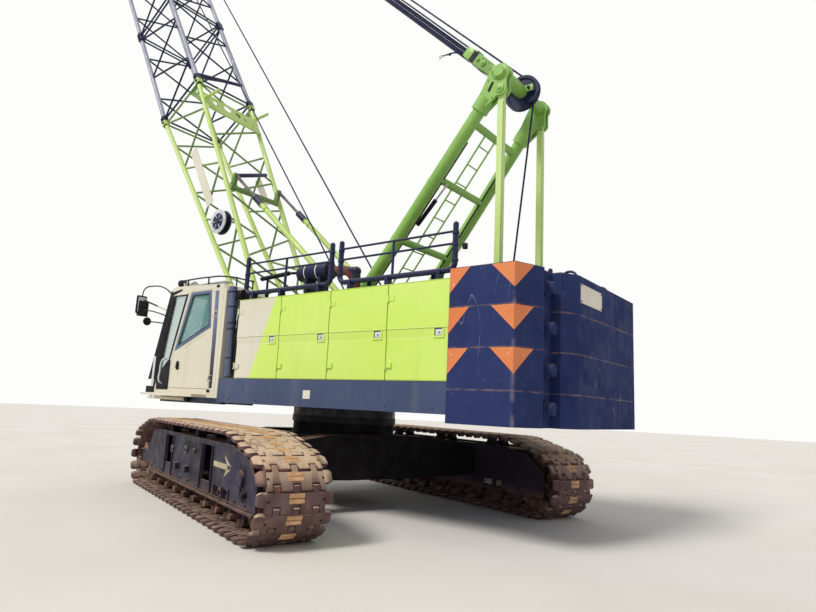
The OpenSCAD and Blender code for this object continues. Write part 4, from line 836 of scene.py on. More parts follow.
def weight_fittings():
    parts = Kit()
    corners = [(WEIGHT_REAR, y, z) for y, z in rectangle((-0.146, 2.636), (0.52, 2.853))]
    parts.add(plate("board", facing(corners, (-1, 0, 0)), 0.006, 0.002), blank_plate)
    for y, z in ((0.5, 2.655), (-0.126, 2.655), (0.5, 2.834), (-0.126, 2.834)):
        parts.add(bolt((WEIGHT_REAR - 0.006, y, z), (-1, 0, 0), 0.008, 0.006))
    # Lifting eyes on the top slab
    for x, y in ((-3.25, 1.1), (-3.25, -1.1), (-3.75, 0.4), (-3.75, -0.6)):
        arch = ((-0.09, 2.93), (-0.07, 3.0), (0, 3.03), (0.07, 3.0), (0.09, 2.93))
        parts.add(pipe("eye", [(x + dx, y, z) for dx, z in arch], 0.016, 8))
    return gather("weight_fittings", parts, weight_paint, "upperworks")


def channel_caps():
    """Rounded caps on the stacking pins in the channel at the left rear corner"""
    parts = Kit()
    for top in (*SLAB_TOPS, BOTTOM_SLAB_TOP):
        z = top - (0.162 if top == BOTTOM_SLAB_TOP else 0.2)
        parts.add(rod("cap", (-3.79, 0.93, z), (-3.812, 0.93, z), 0.07, 24, 0.008))
        parts.add(rod("collar", (-3.71, 0.93, z), (-3.735, 0.93, z), 0.088, 24, 0.004))
    return gather("stacking_pin_caps", parts, weight_paint, "upperworks")


triangle_marks()
weight_fittings()
channel_caps()

# Side doors: pale latch plates with their button, seals along the top, and a blank plate on the deck
SEAMS_LEFT = (0.89, -0.028, -0.973, -1.928, DECK_REAR)
SEAMS_RIGHT = (0.89, -0.34, -1.57, DECK_REAR)


def latch(rear_seam, side):
    """A pale latch plate on a black plate that shows broadly at two of its edges as a painted shadow"""
    x, z, y = rear_seam + 0.064, 2.177, side * (DECK_HALF_W - 0.004)
    low, high = (x + 0.022, z + 0.02), (x + 0.128, z + 0.105)
    parts = Kit()
    # Painted shadow: a black plate behind the latch plate, showing broadly at two of its edges
    parts.add(side_plate(rectangle(low, high), y + side * 0.0004, 0.0008, side), black_trim)
    face = rectangle((low[0] + 0.003, low[1] + 0.003), (high[0] - 0.014, high[1] - 0.014))
    parts.add(side_plate(face, y, 0.005, side, 0.0015), latch_plate)
    middle = Vector((low[0] + 0.04, y + side * 0.004, low[1] + 0.034))
    parts.add(rod("button", middle, middle + Vector((0, side * 0.005, 0)), 0.009, 12, 0.001), black_trim)
    return parts


for side, seams, group in ((1, SEAMS_LEFT, "left_door_"), (-1, SEAMS_RIGHT, "right_door_")):
    for k in range(len(seams) - 1):
        gather(group + "latch_%d" % (k + 1), latch(seams[k + 1], side), black_trim, group + str(k + 1))
        middle_y = side * (DECK_HALF_W - 0.036)
        low = (seams[k + 1] + 0.012, middle_y - 0.006, HOUSE_TOP - 0.07)
        high = (seams[k] - 0.012, middle_y + 0.006, HOUSE_TOP - 0.058)
        gather(group + "seal_%d" % (k + 1), [block("seal", low, high, 0.003)], black_trim,
               group + str(k + 1))


def deck_plates():
    parts = Kit()
    parts.add(side_plate(rectangle((-0.722, 1.445), (-0.593, 1.553)), DECK_HALF_W, 0.003), blank_plate)
    for x in (-2.62, -1.95, 0.35, 0.95):
        parts.add(bolt((x, DECK_HALF_W, 1.40), (0, 1, 0), 0.012, 0.01))
    return gather("deck_plates", parts, deck_paint, "upperworks")


deck_plates()

# Roof rails: grip teeth along the treads, clamps on the posts and brackets under the treads
RAIL_Y = 1.3
TREAD_TOP = 3.0
TOOTH_PITCH = 0.062
SLAT_PITCH = 0.045


def rail_grips():
    parts = Kit()
    for side in SIDES:
        for low, high in ((-0.70, 0.86), (-2.66, -1.06)):
            tooth = block("tooth", (0, 0, 0), (0.026, 0.012, 0.014), 0.003, 1)
            for k in range(int((high - low) / TOOTH_PITCH)):
                for y in (side * (RAIL_Y - 0.008) - 0.006, side * (RAIL_Y - 0.06) - 0.006):
                    place = Matrix.Translation((low + k * TOOTH_PITCH, y, TREAD_TOP - 0.019))
                    parts.add(copy_of(tooth, place))
            bpy.data.objects.remove(tooth)
    return gather("tread_grips", parts, grip_steel, "upperworks")


def rail_clamps():
    parts = Kit()
    for side in SIDES:
        y = side * RAIL_Y
        for x in (0.962, -0.798, -0.968, -2.758):
            for z in (3.06, 3.24, 3.38):
                parts.add(rod("clamp", (x, y, z), (x, y, z + 0.03), 0.041, 20, 0.003))
        for x in (0.60, -0.3, -1.4, -2.4):
            low = (x - 0.03, y - side * 0.1 - 0.012, HOUSE_TOP + 0.004)
            high = (x + 0.03, y - side * 0.1 + 0.012, TREAD_TOP - 0.032)
            parts.add(block("bracket", low, high, 0.004))
    return gather("rail_clamps", parts, rail_paint, "upperworks")


rail_grips()
rail_clamps()

CAN_Y = 0.95


def roof_gear():
    """Grilles and a filler cap, and the air cleaner's wrap, bands, cap, intake pipe and rusty elbow"""
    parts = Kit()

    def round_can(name, x, width, radius, sides, bevel=0.0, finish=None, z=3.26):
        parts.add(rod(name, (x, CAN_Y, z), (x + width, CAN_Y, z), radius, sides, bevel), finish)

    round_can("can_wrap", -0.43, 0.52, 0.1315, 40, 0.002, navy_paint)
    for x in (-0.26, -0.03):
        round_can("can_band", x, 0.018, 0.1335, 40, 0.001, blank_plate)
    round_can("cap", 0.1, 0.055, 0.12, 40, 0.012)
    bend = ((-0.45, 3.24), (-0.62, 3.24), (-0.80, 3.20), (-0.92, 3.05), (-0.93, HOUSE_TOP))
    parts.add(pipe("elbow", [(x, CAN_Y, z) for x, z in bend], 0.068, 20), rusty_pipe)
    for x in (-0.5, -0.58):
        round_can("hose_clamp", x, 0.016, 0.0725, 24, z=3.24)
    # Air intake that runs forward from the canister on its feet
    parts.add(rod("intake", (1.03, 0.98, 3.262), (0.42, 0.96, 3.30), 0.034, 20, 0.006), black_trim)
    parts.add(rod("intake_neck", (0.43, 0.96, 3.30), (0.1, 0.95, 3.28), 0.02, 16), black_trim)
    for x in (0.5, 0.9):
        parts.add(block("intake_foot", (x - 0.012, 0.95, HOUSE_TOP), (x + 0.012, 0.98, 3.26), 0.003))
    # Louvred grilles, two on the right roof and one on the left, and a filler cap
    for x0, y0, x1, y1 in ((-2.5, -1.22, -1.7, -0.92), (-1.4, -1.22, -0.6, -0.92), (-2.4, 0.95, -1.3, 1.2)):
        high = (x1 + 0.02, y1 + 0.02, HOUSE_TOP + 0.018)
        parts.add(block("grille_rim", (x0 - 0.02, y0 - 0.02, HOUSE_TOP), high, 0.005))
        slat = block("slat", (0, 0, 0), (0.016, y1 - y0, 0.02), 0.003, 1)
        for k in range(int((x1 - x0) / SLAT_PITCH)):
            parts.add(copy_of(slat, Matrix.Translation((x0 + 0.01 + k * SLAT_PITCH, y0, HOUSE_TOP + 0.016))))
        bpy.data.objects.remove(slat)
    parts.add(rod("filler", (0.45, -1.05, HOUSE_TOP), (0.45, -1.05, HOUSE_TOP + 0.05), 0.06, 24, 0.008))
    return gather("roof_gear", parts, slate_paint, "upperworks")


roof_gear()

# Gantry head and boom stay
FALL_PLATE_Y = 0.099
FALL_START, FALL_END = 0.9, 8.1


def inclined(foot, angle, x, y, z):
    """A point given along a line that rises from its foot at an angle, across it and square to it"""
    c, s = math.cos(angle), math.sin(angle)
    return foot + Vector((c * x - s * z, y, s * x + c * z))


def on_stay(x, y, z):
    return inclined(SPREADER_PIN, STAY_ANGLE, x, y, z)


def on_backstop(x, y, z):
    return inclined(BACKSTOP_FOOT, BACKSTOP_ANGLE, x, y, z)


def stay_plate(points, y, thick, way, bevel=0.002):
    """A plate on the side of the stay, its corners given along and square to it"""
    corners = [on_stay(x, y, z) for x, z in points]
    return plate("stay_plate", facing(corners, (0, way, 0)), thick, bevel)


def stretched(piece):
    """Puts a piece's place into its mesh, leaving it on no body"""
    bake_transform(piece)
    return piece


def spreader_dress():
    """Doubler plates, ringed pins, a box at the end and a loose rope tail on the lower spreader"""
    parts = Kit()
    for side in SIDES:
        y = side * FALL_PLATE_Y
        doubler = [(-0.03, -0.075), (0.30, -0.078), (0.36, -0.03), (0.36, 0.03), (0.30, 0.078),
                   (-0.03, 0.075)]
        strap = [(0.02, -0.086), (0.64, -0.1), (0.9, -0.084), (0.9, -0.066), (0.64, -0.08), (0.02, -0.068)]
        parts.add(stay_plate(doubler, y, 0.012, side, 0.004))
        parts.add(stay_plate(strap, y, 0.006, side))
        for x, r in ((0.515, 0.046), (0.64, 0.03), (0.16, 0.04)):
            ring, pin, tip = (on_stay(x, y + side * out, 0) for out in (0.018, 0.016, 0.032))
            parts.add(rod("ring", on_stay(x, y, 0), ring, r, 24, 0.003))
            parts.add(rod("pin_end", pin, tip, r * 0.5, 16, 0.003))
        for x, z in ((0.58, 0.05), (0.44, 0.052), (0.44, -0.052), (0.08, 0.05)):
            parts.add(bolt(on_stay(x, y, z), (0, side, 0), 0.009, 0.008))
    end_box = [(0.79, -0.088), (0.94, -0.078), (0.94, 0.078), (0.79, 0.088)]
    parts.add(stay_plate(end_box, -0.104, 0.208, 1, 0.008))
    # Painted shade: a black block for the shade in the gap next to the end box
    parts.add(stay_plate(rectangle((0.69, -0.08), (0.79, 0.08)), -0.1, 0.2, 1, 0), black_trim)
    parts.add(rod("guard", on_stay(0.76, -0.08, 0.095), on_stay(0.76, 0.08, 0.095), 0.014, 12))
    tail = [on_stay(0.9, 0.09, -0.08), Vector((-1.9, 0.13, 6.57)), Vector((-1.72, 0.15, 6.585))]
    parts.add(pipe("rope_tail", tail, 0.011, 8), rope_steel)
    for d in (-0.02, 0.02):
        strand = [tail[2], Vector((-1.66, 0.15, 6.585 + d * 0.6)), Vector((-1.6, 0.15, 6.58 + d))]
        parts.add(pipe("strand", strand, 0.006, 6), rope_steel)
    parts.add(rod("seizing", (-1.80, 0.14, 6.578), (-1.77, 0.143, 6.58), 0.02, 12, 0.003), rope_steel)
    return gather("spreader_fittings", parts, gantry_paint, "lower_spreader")


def fall_ribbons():
    """The other parts of the reeved rope between the two spreaders"""
    parts = Kit()
    for z, r in ((-0.078, 0.011), (-0.056, 0.011), (-0.034, 0.011), (0.0, 0.011), (0.03, 0.009)):
        for y in (-0.062, 0.0, 0.062):
            parts.add(rod("fall", on_stay(FALL_START, y, z), on_stay(FALL_END, y, z), r, 10))
    falls = gather("stay_falls", parts, rope_steel, None)
    return stretched(falls)


def head_dress():
    """Bosses with their pins, ribs, slots and bolts on the sides of the gantry head"""
    parts = Kit()
    for side in SIDES:
        out = side * 0.652
        for (x, z), r in (((-2.914, 5.686), 0.095), ((-2.914, 5.461), 0.06)):
            parts.add(rod("boss", (x, out - side * 0.02, z), (x, out + side * 0.006, z), r, 32, 0.004))
            parts.add(rod("boss_pin", (x, out, z), (x, out + side * 0.022, z), r * 0.45, 20, 0.004))
        arc = [(-2.79, 5.74), (-2.83, 5.63), (-2.93, 5.585)]
        parts.add(pipe("rib", [(x, out, z) for x, z in arc], 0.008, 8))
        # Painted shade: a black plate for the shade inside the slot
        slot = [(-2.826, 5.57), (-2.765, 5.455), (-2.742, 5.47), (-2.806, 5.575)]
        parts.add(side_plate(slot, out - side * 0.012, 0.0135, side), black_trim)
        for x, z in ((-2.85, 5.76), (-2.74, 5.62), (-2.80, 5.37), (-2.98, 5.60)):
            parts.add(bolt((x, out - side * 0.012, z), (0, side, 0), 0.012, 0.012))
    return parts


def head_pieces():
    """All that sits on the gantry: its head's fittings, collars, clips and a thin pipe along each leg"""
    parts = head_dress()
    for side in SIDES:
        foot, top = Vector((0.108, side * 0.694, 1.77)), Vector((-2.62, side * 0.575, 5.309))
        way = (top - foot).normalized()
        parts.add(rod("collar", top - way * 0.05, top - way * 0.012, 0.102, 36, 0.004))
        parts.add(rod("foot_collar", foot + way * 0.25, foot + way * 0.30, 0.1, 36, 0.004))
        line = [foot + way * t + Vector((-0.03, side * -0.1, -0.02)) for t in (0.45, 1.6, 2.9, 4.0)]
        parts.add(pipe("leg_pipe", line, 0.012, 8), black_trim)
        for t in (0.6, 1.5, 2.4, 3.3):
            parts.add(rod("clip", foot + way * t, foot + way * (t + 0.03), 0.089, 36, 0.002))
    # Fall arrestor cylinder along the left leg and a junction box on the right one
    parts.add(rod("cylinder", (-1.56, 0.45, 3.898), (-1.86, 0.45, 4.215), 0.03, 20, 0.004), black_trim)
    parts.add(rod("cylinder_rod", (-1.86, 0.45, 4.215), (-2.043, 0.45, 4.408), 0.014, 16), latch_plate)
    parts.add(block("junction", (-1.74, -0.61, 3.79), (-1.67, -0.55, 3.88), 0.008), black_trim)
    return gather("gantry_fittings", parts, gantry_paint, "upperworks")


def sheave_arm():
    parts = Kit()
    parts.add(block("arm", (-3.10, 0.062, 5.655), (-2.888, 0.078, 5.745), 0.02, 3))
    parts.add(rod("knob", (-3.04, 0.078, 5.70), (-3.04, 0.10, 5.70), 0.022, 16, 0.004), black_trim)
    parts.add(pipe("guard", [(-3.02, 0.05, 5.50), (-3.12, 0.05, 5.53), (-3.17, 0.05, 5.62)], 0.016),
              navy_paint)
    return gather("sheave_guide", parts, gantry_paint, "upperworks")


spreader_dress()
fall_ribbons()
head_pieces()
sheave_arm()

# Hoist ropes from the drums to the boom head, and the boom hoist rope over the guide sheave to the spreaders
ROPE_R = 0.013
SHEAVE_R = 0.175
LEAD_SHARE = 0.14


def rope(name, a, b, from_body, to_body):
    line = [rod(name, a, b, ROPE_R, 10)]
    if from_body == to_body:
        return gather(name, line, rope_steel, from_body)
    return stretched(gather(name, line, rope_steel, None))


rope("front_hoist_rope", Vector((-0.34, -0.12, 2.36)), on_boom(21.6, -0.12, -0.35), "upperworks", "boom")
rope("rear_hoist_rope", Vector((-1.28, 0.12, 2.36)), on_boom(21.3, 0.12, 0.45), "upperworks", "boom")
rope("boom_hoist_rope", Vector((-3.095, 0, 5.68)), Vector((-2.70, 0, 2.25)), "upperworks", "upperworks")
lead_start = inclined(HEAD, STAY_ANGLE, 0, 0, SHEAVE_R)
lead_end = on_stay(FALL_END, 0, 0.12)
lead_middle = lead_start.lerp(lead_end, LEAD_SHARE)
rope("lead_rope_foot", lead_start, lead_middle, "upperworks", "lower_spreader")
rope("lead_rope", lead_middle, lead_end, "lower_spreader", "upper_spreader")

# Boom dress: section pins, sleeves on the grey chords, pierced cross plate, pendant prongs, dark cross tubes
SECTION_JOINTS = (BASE_LEN, BASE_LEN + INSERT_LEN, BASE_LEN + INSERT_LEN + LONG_LEN)


def section_pins():
    parts = Kit()
    for s in SECTION_JOINTS:
        for side in SIDES:
            for n in (CHORD_OUT, CHORD_IN):
                y = side * CHORD_Y
                for t in (s - 0.058, s + 0.058):
                    low, high = on_boom(t, y - 0.075, n), on_boom(t, y + 0.075, n)
                    parts.add(rod("pin", low, high, 0.024, 16, 0.004))
                for t in (s - 0.15, s + 0.118):
                    parts.add(rod("collar", on_boom(t, y, n), on_boom(t + 0.032, y, n), 0.056, 24, 0.004))
    return gather("section_pins", parts, black_trim, "boom")


def chord_sleeves():
    parts = Kit()
    for start, end in zip(SECTION_JOINTS, SECTION_JOINTS[1:]):
        for side in SIDES:
            y = side * CHORD_Y
            for n in (CHORD_OUT, CHORD_IN):
                parts.add(rod("sleeve", on_boom(start + 0.15, y, n), on_boom(end - 0.15, y, n), 0.0468, 24))
    return gather("chord_sleeves", parts, chord_grey, "boom")


def pierced_plate():
    """The long tapered plate across the rear face, pierced by four round holes of falling size"""
    outline = ((5.80, 0.625), (5.70, -0.64), (6.12, -0.64), (6.22, 0.625))
    corners = [on_boom(s, y, CHORD_OUT) for s, y in outline]
    piece = plate("cross_plate", facing(corners, BOOM_OUT), 0.012)
    for s, y, r in ((6.03, 0.40, 0.06), (6.03, 0.11, 0.088), (5.99, -0.14, 0.066), (5.95, -0.31, 0.045)):
        cutter = rod("cutter", on_boom(s, y, CHORD_OUT - 0.05), on_boom(s, y, CHORD_OUT + 0.06), r, 32)
        modify(piece, "BOOLEAN", operation="DIFFERENCE", object=cutter, solver="EXACT")
        bpy.data.objects.remove(cutter)
    lip = rod("lip", on_boom(5.79, 0.625, CHORD_OUT + 0.006), on_boom(5.69, -0.64, CHORD_OUT + 0.006), 0.016,
              10)
    return Kit([piece, lip])


def boom_dress():
    parts = pierced_plate()
    parts.add(rod("dark_bar", on_boom(6.80, 0.62, CHORD_OUT), on_boom(7.30, -0.62, CHORD_OUT), 0.036),
              navy_paint)
    parts.add(rod("tie_tube", on_boom(3.945, 0.51, 0.54), on_boom(4.338, -0.315, 0.54), 0.038, 20, 0.004),
              navy_paint)
    for y, start, end in ((0.655, (6.0, 0.60), (5.81, 0.97)), (-0.655, (6.2, 0.50), (5.99, 0.89))):
        a, b = (on_boom(s, y, n) for s, n in (start, end))
        parts.add(rod("prong", a, b, 0.03, 10))
        way = (b - a).normalized()
        parts.add(rod("prong_foot", a - way * 0.03, a + way * 0.05, 0.05, 12, 0.006))
    return gather("boom_fittings_dress", parts, boom_lime, "boom")


# The reel's middle along the boom and out from its centre line, and the inner side of its rims
REEL_S = 3.15
REEL_N = 0.03
REEL_Y = 0.665


def reel_dress():
    """Rims, spokes, hub and cable turns of the reel at the left of the boom's foot section"""
    parts = Kit()

    def disc(name, low, high, radius, sides, bevel, finish):
        start, end = (on_boom(REEL_S, REEL_Y + y, REEL_N) for y in (low, high))
        parts.add(rod(name, start, end, radius, sides, bevel), finish)

    disc("reel_rim", 0, 0.014, 0.222, 48, 0.003, navy_paint)
    disc("reel_rim", 0.11, 0.124, 0.222, 48, 0.003, latch_plate)
    disc("reel_face", 0.118, 0.127, 0.15, 40, 0.002, navy_paint)
    middle = on_boom(REEL_S, REEL_Y + 0.126, REEL_N)
    for k in range(6):
        turn = math.radians(60 * k)
        tip = middle + (BOOM_UP * math.cos(turn) + BOOM_OUT * math.sin(turn)) * 0.2
        parts.add(rod("spoke", middle, tip, 0.008, 8), latch_plate)
    for k in range(5):
        disc("turn", 0.02 + k * 0.018, 0.034 + k * 0.018, 0.19, 40, 0.005, black_trim)
    disc("hub", 0.11, 0.145, 0.06, 24, 0.008, slate_paint)
    return gather("reel_dress", parts, slate_paint, "boom")


def backstop_sleeves():
    parts = Kit()
    for side in SIDES:
        y = side * 0.51
        parts.add(rod("sleeve", on_backstop(4.075, y, 0), on_backstop(4.345, y, 0), 0.0595, 28))
        for x in (4.08, 4.32):
            parts.add(rod("band", on_backstop(x, y, 0), on_backstop(x + 0.02, y, 0), 0.0615, 28))
        for x in (0.22, 3.9):
            ring = rod("ring", on_backstop(x, y, 0), on_backstop(x + 0.03, y, 0), 0.054, 28, 0.003)
            parts.add(ring, gantry_paint)
    return gather("backstop_sleeves", parts, navy_paint, "backstop_tubes")


section_pins()
chord_sleeves()
boom_dress()
reel_dress()
backstop_sleeves()

# Cab: window bands, pillar cover, handles, roof guard with its walkway, lamp, mirrors and the duct behind it
TRIM_LIFT = 0.0006
HOLE_PITCH = 0.077


def cab_side(points, thick, bevel=0.0, lift=TRIM_LIFT):
    return side_plate(points, DECK_HALF_W + lift, thick, 1, bevel)


def band(outer, inner, thick, lift=TRIM_LIFT):
    """A flat frame on the cab's side between two outlines with the same number of corners"""
    n = len(outer)
    quads = [[outer[k], outer[(k + 1) % n], inner[(k + 1) % n], inner[k]] for k in range(n)]
    return joined("band", [cab_side(quad, thick, 0.0, lift) for quad in quads])


DOOR_GLASS = [(1.59, 2.491), (2.384, 2.188), (2.096, 3.0), (1.655, 3.0)]
DOOR_BAND = [(1.545, 2.466), (2.452, 2.118), (2.146, 3.045), (1.612, 3.045)]
QUARTER_GLASS = [(2.56, 1.97), (2.86, 1.71), (2.64, 3.03), (2.25, 3.03)]


def door_dress():
    parts = Kit()
    parts.add(band(DOOR_BAND, DOOR_GLASS, 0.006), slate_glass)
    inner = [(1.604, 2.506), (2.362, 2.214), (2.084, 2.986), (1.668, 2.986)]
    parts.add(band(DOOR_GLASS, inner, 0.004, 0.001), black_trim)
    recess = [(2.282, 1.815), (2.356, 1.815), (2.372, 1.952), (2.298, 1.952)]
    parts.add(cab_side(recess, 0.003, 0.001), black_trim)
    y = DECK_HALF_W
    parts.add(block("grip", (2.29, y + 0.006, 1.835), (2.345, y + 0.03, 1.925), 0.01, 3), black_trim)
    parts.add(rod("lock", (2.29, y, 1.775), (2.29, y + 0.008, 1.775), 0.014, 16, 0.002), latch_plate)
    crease = [(1.66, 2.376), (2.30, 2.126), (2.30, 2.116), (1.66, 2.366)]
    parts.add(cab_side(crease, 0.004, 0.0015, 0.0004))
    return gather("cab_door_dress", parts, cab_paint, "cab_door")


def strip_finish():
    """Painted shade in the recess beside the door: blue-grey, darkening towards the foot"""
    paint = painted("shadow_strip", (96, 106, 138), (112, 122, 152), dust=0, chips=0)
    paint.over((24, 24, 52), paint.between(paint.axis("Z"), 2.6, 1.8, 0.0, 0.95))
    return paint.finish()


shadow_strip = strip_finish()


def cab_side_dress():
    parts = Kit()
    quarter_in = [(2.585, 1.985), (2.838, 1.765), (2.622, 3.005), (2.285, 3.005)]
    parts.add(band(QUARTER_GLASS, quarter_in, 0.006), black_trim)
    pillar = [(2.872, 1.66), (3.0, 1.66), (2.72, 3.13), (2.655, 3.02)]
    parts.add(cab_side(pillar, 0.012, 0.004), black_trim)
    well = [(2.535, 1.50), (2.875, 1.50), (2.89, 1.69), (2.555, 1.965), (2.535, 1.965)]
    parts.add(cab_side(well, 0.006, 0.002), black_trim)
    parts.add(block("front_post", (2.955, 1.40, 1.47), (3.03, 1.466, 2.04), 0.016, 3), latch_plate)
    parts.add(block("front_foot", (2.93, 1.37, 1.43), (3.16, 1.47, 1.55), 0.014, 3), black_trim)
    sunshade = [(2.70, 3.03), (2.70, 3.09), (2.42, 3.13), (2.42, 3.10)]
    parts.add(cab_side(sunshade, 0.004, 0.001), black_trim)
    # Painted shade: a blue-grey plate, darker downwards, for the shade in the recess behind the door
    hollow_shade = [(1.372, 1.542), (1.446, 1.542), (1.482, 2.418), (1.505, 3.03), (1.42, 3.03), (1.385, 2.3)]
    parts.add(cab_side(hollow_shade, 0.003, 0.001), shadow_strip)
    y = DECK_HALF_W
    for z in (3.10, 1.50):
        parts.add(block("bracket", (1.42, y, z - 0.02), (1.485, y + 0.012, z + 0.02), 0.004), black_trim)
    # A crease along the corner post behind the door
    parts.add(cab_side(rectangle((1.30, 1.44), (1.308, 3.1)), 0.003, 0.001, 0.0004))
    bow = ((2.72, 1.452, 1.60), (2.72, 1.50, 1.62), (2.735, 1.50, 1.80),
           (2.715, 1.50, 1.94), (2.655, 1.50, 1.985), (2.645, 1.452, 1.99))
    parts.add(pipe("grab_handle", bow, 0.015, 12), latch_plate)
    parts.add(rod("sill_tube", (3.10, 1.43, 1.372), (2.05, 1.43, 1.362), 0.026, 20, 0.004))
    parts.add(rod("sill_end", (2.05, 1.43, 1.362), (1.96, 1.43, 1.361), 0.034, 20, 0.006), black_trim)
    for x in (2.96, 2.3):
        parts.add(block("sill_bracket", (x - 0.02, 1.41, 1.372), (x + 0.02, 1.446, 1.415), 0.003))
    return gather("cab_side_dress", parts, cab_paint, "upperworks")


def cab_roof_dress():
    parts = Kit()
    rail_z = 3.31
    low_z = rail_z - 0.02
    loop = [(2.785, 1.31, rail_z), (1.93, 1.31, rail_z), (1.50, 1.26, low_z), (1.44, 0.95, low_z),
            (1.44, 0.80, low_z)]
    parts.add(pipe("guard_rail", loop, 0.013), rail_paint)
    for x, y in ((1.93, 1.31), (2.5, 1.31), (1.46, 1.12), (1.44, 0.82)):
        parts.add(rod("guard_post", (x, y, CAB_TOP - 0.02), (x, y, rail_z), 0.012, 10), rail_paint)
    parts.add(block("walkway", (1.55, 1.12, CAB_TOP + 0.035), (2.72, 1.28, CAB_TOP + 0.05), 0.003),
              latch_plate)
    # Painted shade: black discs on the walkway for the shade seen through its holes
    hole = rod("hole", (0, 0, CAB_TOP + 0.0495), (0, 0, CAB_TOP + 0.0508), 0.026, 10)
    for k in range(15):
        for y in (1.16, 1.235):
            parts.add(copy_of(hole, Matrix.Translation((1.60 + k * HOLE_PITCH, y, 0))), black_trim)
    bpy.data.objects.remove(hole)
    for x in (1.6, 2.65):
        parts.add(block("walkway_foot", (x, 1.18, CAB_TOP - 0.01), (x + 0.03, 1.22, CAB_TOP + 0.036), 0.003))
    y, z = 1.19, 3.30
    parts.add(rod("lamp_body", (2.80, y, z), (2.89, y, z), 0.062, 28, 0.012, 0.076), black_trim)
    parts.add(rod("lamp_glass", (2.888, y, z), (2.896, y, z), 0.066, 28, 0.003), latch_plate)
    parts.add(rod("lamp_foot", (2.85, y, z - 0.06), (2.85, y, z - 0.15), 0.014, 12), black_trim)
    parts.add(block("visor", (2.62, 0.78, CAB_TOP - 0.06), (2.80, 1.36, CAB_TOP - 0.03), 0.008), black_trim)
    return gather("cab_roof_dress", parts, cab_paint, "upperworks")


def cab_rear_duct():
    """The ribbed duct and hoses that stand in the gap between cab and left house"""
    foot, top = Vector((1.085, 1.385, 1.72)), Vector((1.165, 1.385, 3.07))

    def length_of(name, low, high, radius, bevel):
        start, end = (foot.lerp(top, (z - foot.z) / (top.z - foot.z)) for z in (low, high))
        return rod(name, start, end, radius, 24, bevel)

    parts = Kit([length_of("duct", foot.z, top.z, 0.062, 0.004)])
    for z in (1.98, 2.41, 2.50, 2.75, 2.98):
        parts.add(length_of("clamp", z, z + 0.022, 0.066, 0.002), slate_paint)
    for z in (2.44, 2.47, 2.53, 2.56):
        parts.add(length_of("rib", z, z + 0.012, 0.0655, 0.002))
    for dx, dy, r in ((0.075, -0.02, 0.02), (-0.08, -0.03, 0.024), (-0.055, 0.012, 0.014)):
        path = ((1, 1.38, 1.75), (0.8, 1.38, 2.2), (1.1, 1.38, 2.7), (0.4, 1.33, 3.02))
        parts.add(pipe("hose", [(1.09 + dx * share, y + dy, z) for share, y, z in path], r, 12), black_trim)
    parts.add(rod("drum", (1.0, 1.28, 2.95), (1.15, 1.28, 2.95), 0.09, 28, 0.01), black_trim)
    parts.add(rod("filter", (1.13, 1.36, 1.84), (1.13, 1.36, 1.98), 0.055, 24, 0.012), black_trim)
    return gather("cab_rear_duct", parts, clear_pipe, "upperworks")


def mirrors():
    parts = Kit()
    parts.add(block("mirror_housing", (3.335, 1.52, 2.75), (3.385, 1.70, 3.06), 0.024, 4))
    parts.add(block("mirror_face", (3.331, 1.54, 2.78), (3.337, 1.68, 3.03), 0.002), latch_plate)
    parts.add(rod("round_mirror", (3.20, 1.55, 2.62), (3.235, 1.55, 2.62), 0.07, 28, 0.014))
    arms = ([(2.72, 1.43, 3.05), (2.86, 1.50, 3.17), (3.12, 1.58, 3.21), (3.30, 1.61, 3.17),
             (3.36, 1.61, 3.05)],
            [(2.80, 1.44, 2.70), (2.98, 1.52, 2.76), (3.2, 1.58, 2.80), (3.35, 1.61, 2.80)],
            [(2.82, 1.44, 2.58), (3.0, 1.5, 2.60), (3.2, 1.55, 2.62)])
    for line in arms:
        parts.add(pipe("mirror_arm", line, 0.011))
    return gather("mirror_dress", parts, black_trim, "upperworks")


door_dress()
cab_side_dress()
cab_roof_dress()
cab_rear_duct()
mirrors()

# Track frames: arrow, round hole, bosses, ribs, bolts and a hose on the outer plates
FRAME_FACE = TRACK_GAUGE / 2 + FRAME_HALF_W


def frame_plate(points, thick, bevel, side, lift=0.0):
    """A plate on the outer face of a track frame, given in the track's own directions"""
    piece = side_plate(points, side * (FRAME_FACE + lift), thick, side, bevel)
    piece.data.transform(turned(TRACK_TURN))
    return piece


def frame_rod(x, z, r, depth, side, sides, bevel, lift=0.0):
    """A round boss that stands out from the outer face of a track frame"""
    y = side * (FRAME_FACE + lift)
    piece = rod("frame_rod", (x, y, z), (x, y + side * depth, z), r, sides, bevel)
    piece.data.transform(turned(TRACK_TURN))
    return piece


stencil = painted("stencil_mark", (208, 196, 160), (170, 156, 128), rough=0.7, dust=0.2, chips=0.62,
                  chip=(90, 76, 74)).finish()


